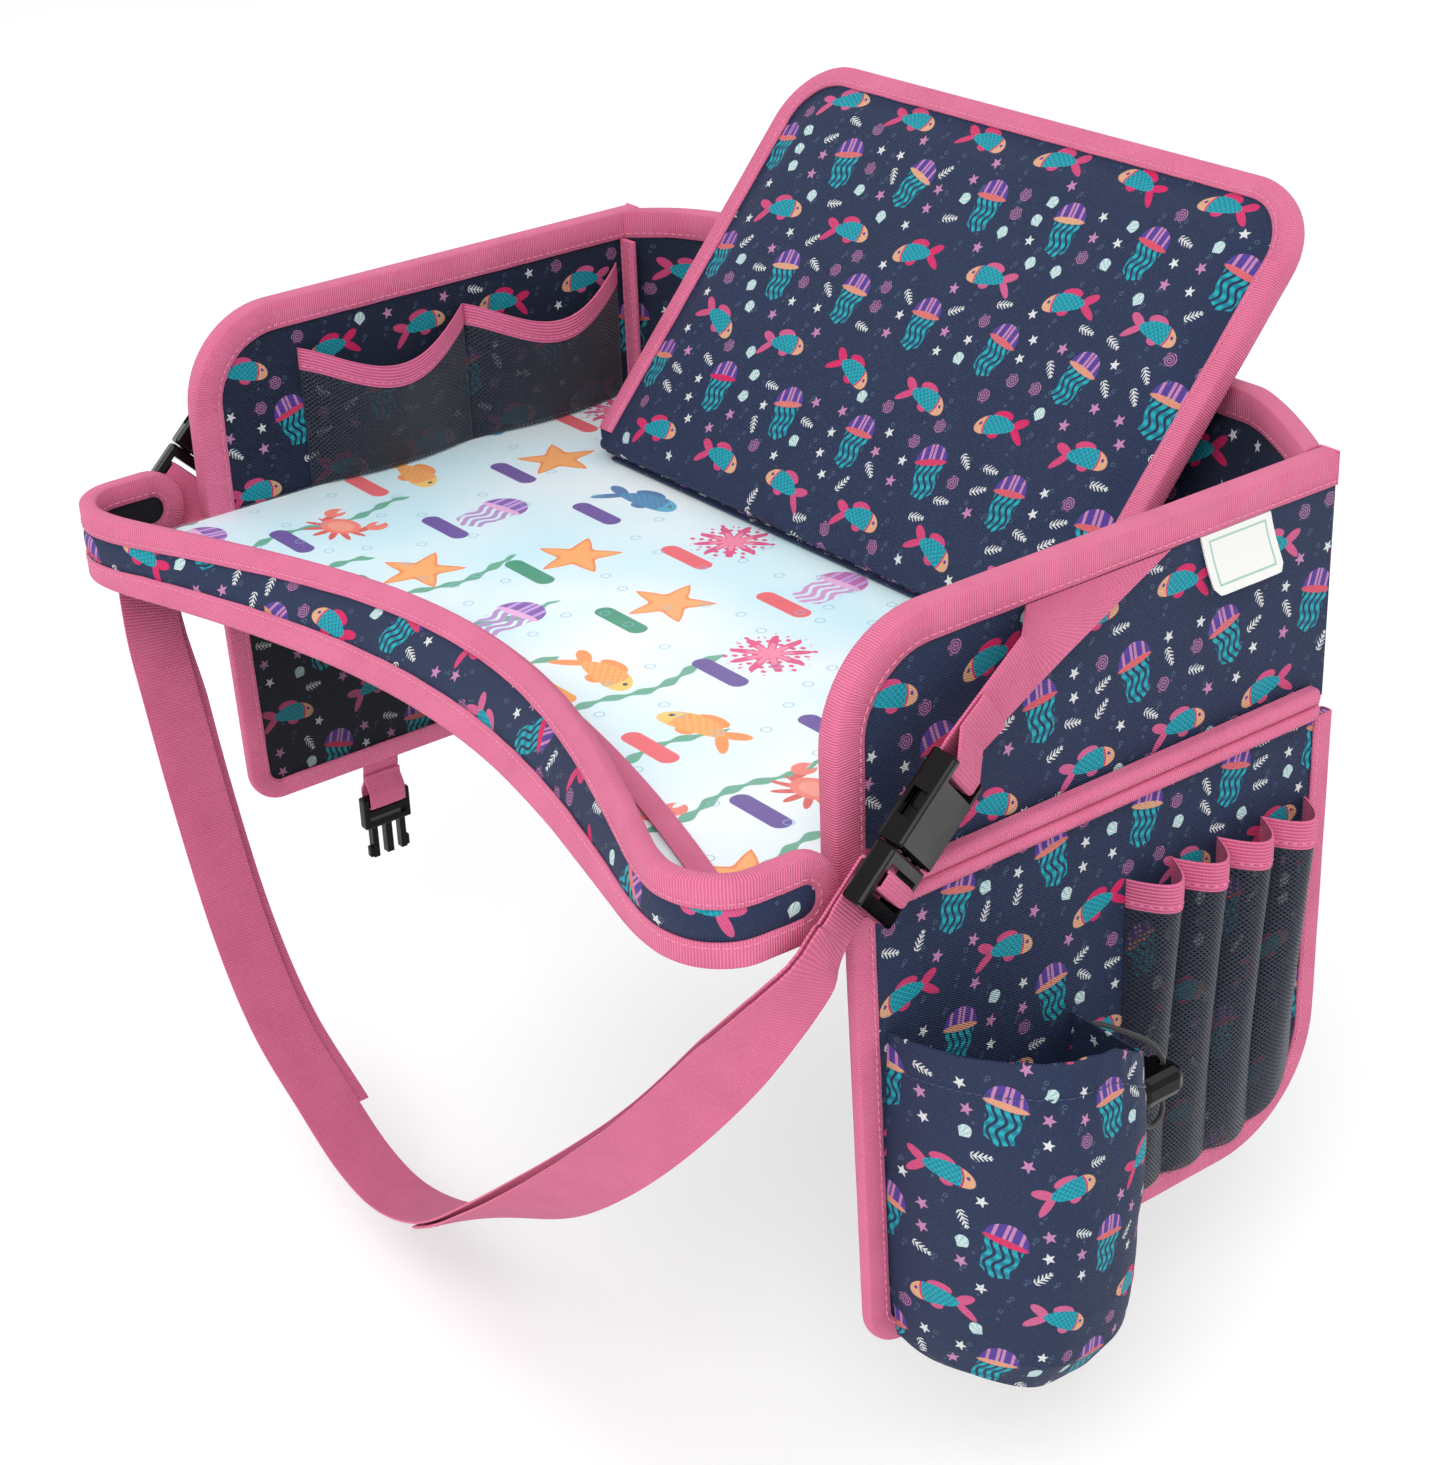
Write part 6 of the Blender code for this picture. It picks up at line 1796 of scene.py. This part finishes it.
def pouch_lining(outside, face):
    """The pouch's inner side: its outer side moved in by the cloth's thickness, but never into the flap."""
    inside = []
    for i, row in enumerate(outside):
        before, after = outside[max(i - 1, 0)], outside[min(i + 1, len(outside) - 1)]
        thinned = []
        for j, at in enumerate(row):
            down = row[min(j + 1, len(row) - 1)] - row[max(j - 1, 0)]
            inward = (after[j] - before[j]).cross(down).normalized()
            thinned.append(at + inward * POUCH_T)
            thinned[-1].x = max(thinned[-1].x, face if at.x < face + TAPE_T else face + TAPE_T + GAP)
        inside.append(thinned)
    return inside


def pouch():
    """The bottle pouch: cloth that bulges from its two seams, with a casing at its mouth."""
    face = FLAP_FACE_X + GAP
    middle, half = (POUCH_FRONT + POUCH_BACK) / 2, (POUCH_BACK - POUCH_FRONT) / 2

    def mouth(u):
        if u < 0.5:
            return POUCH_MOUTH_MID + (POUCH_MOUTH_FRONT - POUCH_MOUTH_MID) * (1 - 2 * u) ** 2
        return POUCH_MOUTH_MID + (POUCH_MOUTH_BACK - POUCH_MOUTH_MID) * math.sin(math.pi * (u - 0.5)) ** 1.2

    evenly = (*spread(0, 0.16, 12), *spread(0.16, 0.88, 34), *spread(0.88, 1, 18))
    downs = sorted({*evenly, *(row[0] for row in POUCH_SHARES)})
    outside, marks = [], []
    columns = spread(0, 1, POUCH_COLUMNS)
    for u in columns:
        angle = math.pi * u
        row, mark = [], []
        for down in downs:
            deep, sag = curve_through(POUCH_SHARES, down)
            narrow = POUCH_GATHER_SHARE * (1 - down) ** 2 + POUCH_TAPER_SHARE * down**4
            y = middle - half * (1 - narrow) * math.cos(angle)
            z = mouth(u) + (POUCH_BOTTOM - mouth(u)) * down - POUCH_SAG * sag * math.sin(angle)
            clear = TAPE_T + GAP if z < RIGHT_FLAP_BOTTOM + 2 * FLAP_LEG else 0
            below = (mouth(u) - POUCH_BOTTOM) * down
            pleat = PLEAT * ripple(u * 7, down * 1.1, 1.0, 6.1) * min(1, below / 0.02)
            gather = GATHER * ripple(u * 22, 0, 1.0, 1.7) * max(0, 1 - below / 0.035)
            groove = -GROOVE * math.exp(-(((below - CASING_H) / GROOVE_W) ** 2))
            crease = CREASE * ripple(u * 3.2 + down * 1.5, down * 6.0, 1.0, 4.4)
            crease *= min(1, max(0, (down - 0.35) / 0.4))
            reach = POUCH_DEPTH * math.sin(angle) * deep
            more = (pleat + gather + groove + crease) * math.sin(angle) ** 0.7 * min(1, reach / 0.01)
            row.append(Vector((face + max(reach + more, clear), y, z)))
            mark.append((0.18 * u, z))
        outside.append(row)
        marks.append(mark)
    made = Build()
    made.slab(outside, pouch_lining(outside, face), marks)
    line, ups = [], []
    for i, u in enumerate(columns[4:-4]):
        row = outside[i + 4]
        share = CASING_H / (mouth(u) - POUCH_BOTTOM)
        k = max(j for j in range(len(downs) - 1) if downs[j] <= share)
        t = (share - downs[k]) / (downs[k + 1] - downs[k])
        line.append(row[k].lerp(row[k + 1], t))
        before, after = outside[i + 3][k], outside[i + 5][k]
        ups.append((row[k + 1] - row[k]).cross(after - before).normalized())
    made.stitches(line, ups)
    cloth = made.finish("bottle_pouch_cloth", ["printed_twill", "navy_thread"], "right_flap", "printed_twill",
                        ["bottle_pouch"])
    wide = lengths([row[len(row) // 2] for row in outside])[-1]
    longest = max(lengths(row)[-1] for row in outside)
    for row, beside in zip(outside, outside[1:]):
        for a, b, c, d in zip(row, row[1:], beside[1:], beside):
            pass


def marker_pockets():
    """The row of narrow net pockets on the right flap and the elastic along their mouths."""
    face = FLAP_FACE_X + GAP
    long = FLAP_BACK - FLAP_FRONT - 2 * NOSE
    round_at = FLAP_FRONT + NOSE + long - RIGHT_FLAP_BACK_R
    inner_r = RIGHT_FLAP_BACK_R - FLAP_LEG - 2 * GAP
    net_top = MARKER_TOP - MARKER_BAND_H - GAP
    wide = MARKER_END - MARKER_START

    def bulge(y, v):
        u = (y - MARKER_START) / wide * MARKER_COUNT
        full = MARKER_FOOT_SHARE + (1 - MARKER_FOOT_SHARE) * v
        return MARKER_BULGE * abs(math.sin(math.pi * u)) ** 0.9 * full

    def mesh(u, v, n):
        y = MARKER_START + wide * min(max(u, 0), 1)
        past = max(0, y - round_at)
        low = RIGHT_FLAP_BOTTOM + NOSE + RIGHT_FLAP_BACK_R - math.sqrt(inner_r**2 - past**2)
        return Vector((face + bulge(y, v) + n, y, low + (net_top - low) * v))

    def edge(u, v, n):
        y = MARKER_START + wide * u
        return Vector((face + bulge(y, 1) + n, y, MARKER_TOP - MARKER_BAND_H * (1 - v)))

    net("marker_pocket_net", mesh, wide * 1.3, 0.128, "right_flap", ["marker_net"])
    band("marker_pocket_elastic", edge, spread(0, 1, MARKER_COUNT * 32), MARKER_BAND_H, MARKER_BAND_T,
         "right_flap", ["marker_elastic"], 15)


def drawcord():
    """The cord from the pouch's casing through the lock and back."""
    line = smooth_line(CORD_ROUTE, 5)
    curve = bpy.data.curves.new("casing_drawcord", "CURVE")
    curve.dimensions, curve.bevel_depth, curve.bevel_resolution = "3D", CORD_D / 2, 3
    curve.use_fill_caps = True
    spline = curve.splines.new("POLY")
    spline.points.add(len(line) - 1)
    for point, at in zip(spline.points, line):
        point.co = (*at, 1)
    curve.materials.append(LOOKS["black_cord"])
    made = placed("casing_drawcord", curve, "right_flap", "black_cord", ["drawcord"])
    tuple(CORD_ROUTE[0])
    round(lengths(line)[-1], 4)


def hard_parts():
    """The frame's own solids that stay in view get their full materials."""
    for node in frame["nodes"].values():
        slot = next((s["material_slot"] for s in frame["record"]["subparts"] if s["node"] == node.name), None)
        if node.hide_render or slot not in LOOKS:
            continue
        node.data.materials.clear()
        node.data.materials.append(LOOKS[slot])


# ---- stage

def camera():
    """A camera at the photograph's viewing angle."""
    data = bpy.data.cameras.new("camera")
    data.sensor_fit, data.sensor_height = "VERTICAL", SENSOR
    data.lens = CAMERA_FOCUS / PHOTO_H * SENSOR
    data.clip_start, data.clip_end = 0.05, 20
    made = bpy.data.objects.new("camera", data)
    position = Vector(CAMERA_AT)
    ahead = (Vector(CAMERA_TARGET) - position).normalized()
    right = ahead.cross(Vector((0, 0, 1))).normalized()
    up = right.cross(ahead)
    side = right * math.cos(CAMERA_ROLL) + up * math.sin(CAMERA_ROLL)
    top = up * math.cos(CAMERA_ROLL) - right * math.sin(CAMERA_ROLL)
    turn = Matrix((side, top, -ahead)).transposed()
    made.matrix_world = Matrix.Translation(position) @ turn.to_4x4()
    bpy.context.scene.collection.objects.link(made)
    bpy.context.scene.camera = made


def light(name, energy, size, at):
    """A square soft lamp that faces the middle of the tray."""
    data = bpy.data.lights.new(name, "AREA")
    data.energy, data.size = energy, size
    made = bpy.data.objects.new(name, data)
    made.location = at
    made.rotation_euler = (-Vector(at)).to_track_quat("-Z", "Y").to_euler()
    bpy.context.scene.collection.objects.link(made)


def stage():
    """A white floor and backdrop, an even sky and soft lamps."""
    mesh = bpy.data.meshes.new("floor")
    reach, depth = FLOOR_REACH, CAD_BOX[0][2] - FLOOR_DROP
    corners = [(-reach, -reach, depth), (reach, -reach, depth), (reach, reach, depth), (-reach, reach, depth)]
    mesh.from_pydata(corners, [], [(0, 1, 2, 3)])
    paint = Shader("floor_paint", (0.94, 0.94, 0.94), Roughness=0.9, Specular_IOR_Level=0.1,
                   Emission_Color=(1, 1, 1, 1))
    seen = paint.node("LightPath").outputs["Is Camera Ray"]
    paint.set("Emission Strength", paint.math("MULTIPLY", seen, FLOOR_GLOW))
    mesh.materials.append(paint.material)
    floor = bpy.data.objects.new("floor", mesh)
    bpy.context.scene.collection.objects.link(floor)
    world = bpy.data.worlds.new("sky")
    world.use_nodes = True
    bpy.context.scene.world = world
    tree = world.node_tree
    back = tree.nodes["Background"]
    back.inputs["Color"].default_value = (1, 1, 1, 1)
    path, mix = tree.nodes.new("ShaderNodeLightPath"), tree.nodes.new("ShaderNodeMix")
    mix.inputs[2].default_value, mix.inputs[3].default_value = SKY_LIGHT, 1.0
    tree.links.new(path.outputs["Is Camera Ray"], mix.inputs[0])
    tree.links.new(mix.outputs[0], back.inputs["Strength"])
    for lamp in LAMPS:
        light(*lamp)
    bpy.context.scene.view_settings.view_transform = "Standard"


camera()
drawcord()
tray_sheets()
rim()
walls()
corner_tapes()
rear_ends()
seam_rolls()
net_pockets()
tag()
anchor_webbing()
strap()
panel()
flap("right", 1, RIGHT_FLAP_BOTTOM, RIGHT_FLAP_BACK_R, 100)
flap("left", -1, LEFT_FLAP_BOTTOM, LEFT_FLAP_BACK_R, 120)
pouch()
marker_pockets()
clip_tabs()
hard_parts()
stage()
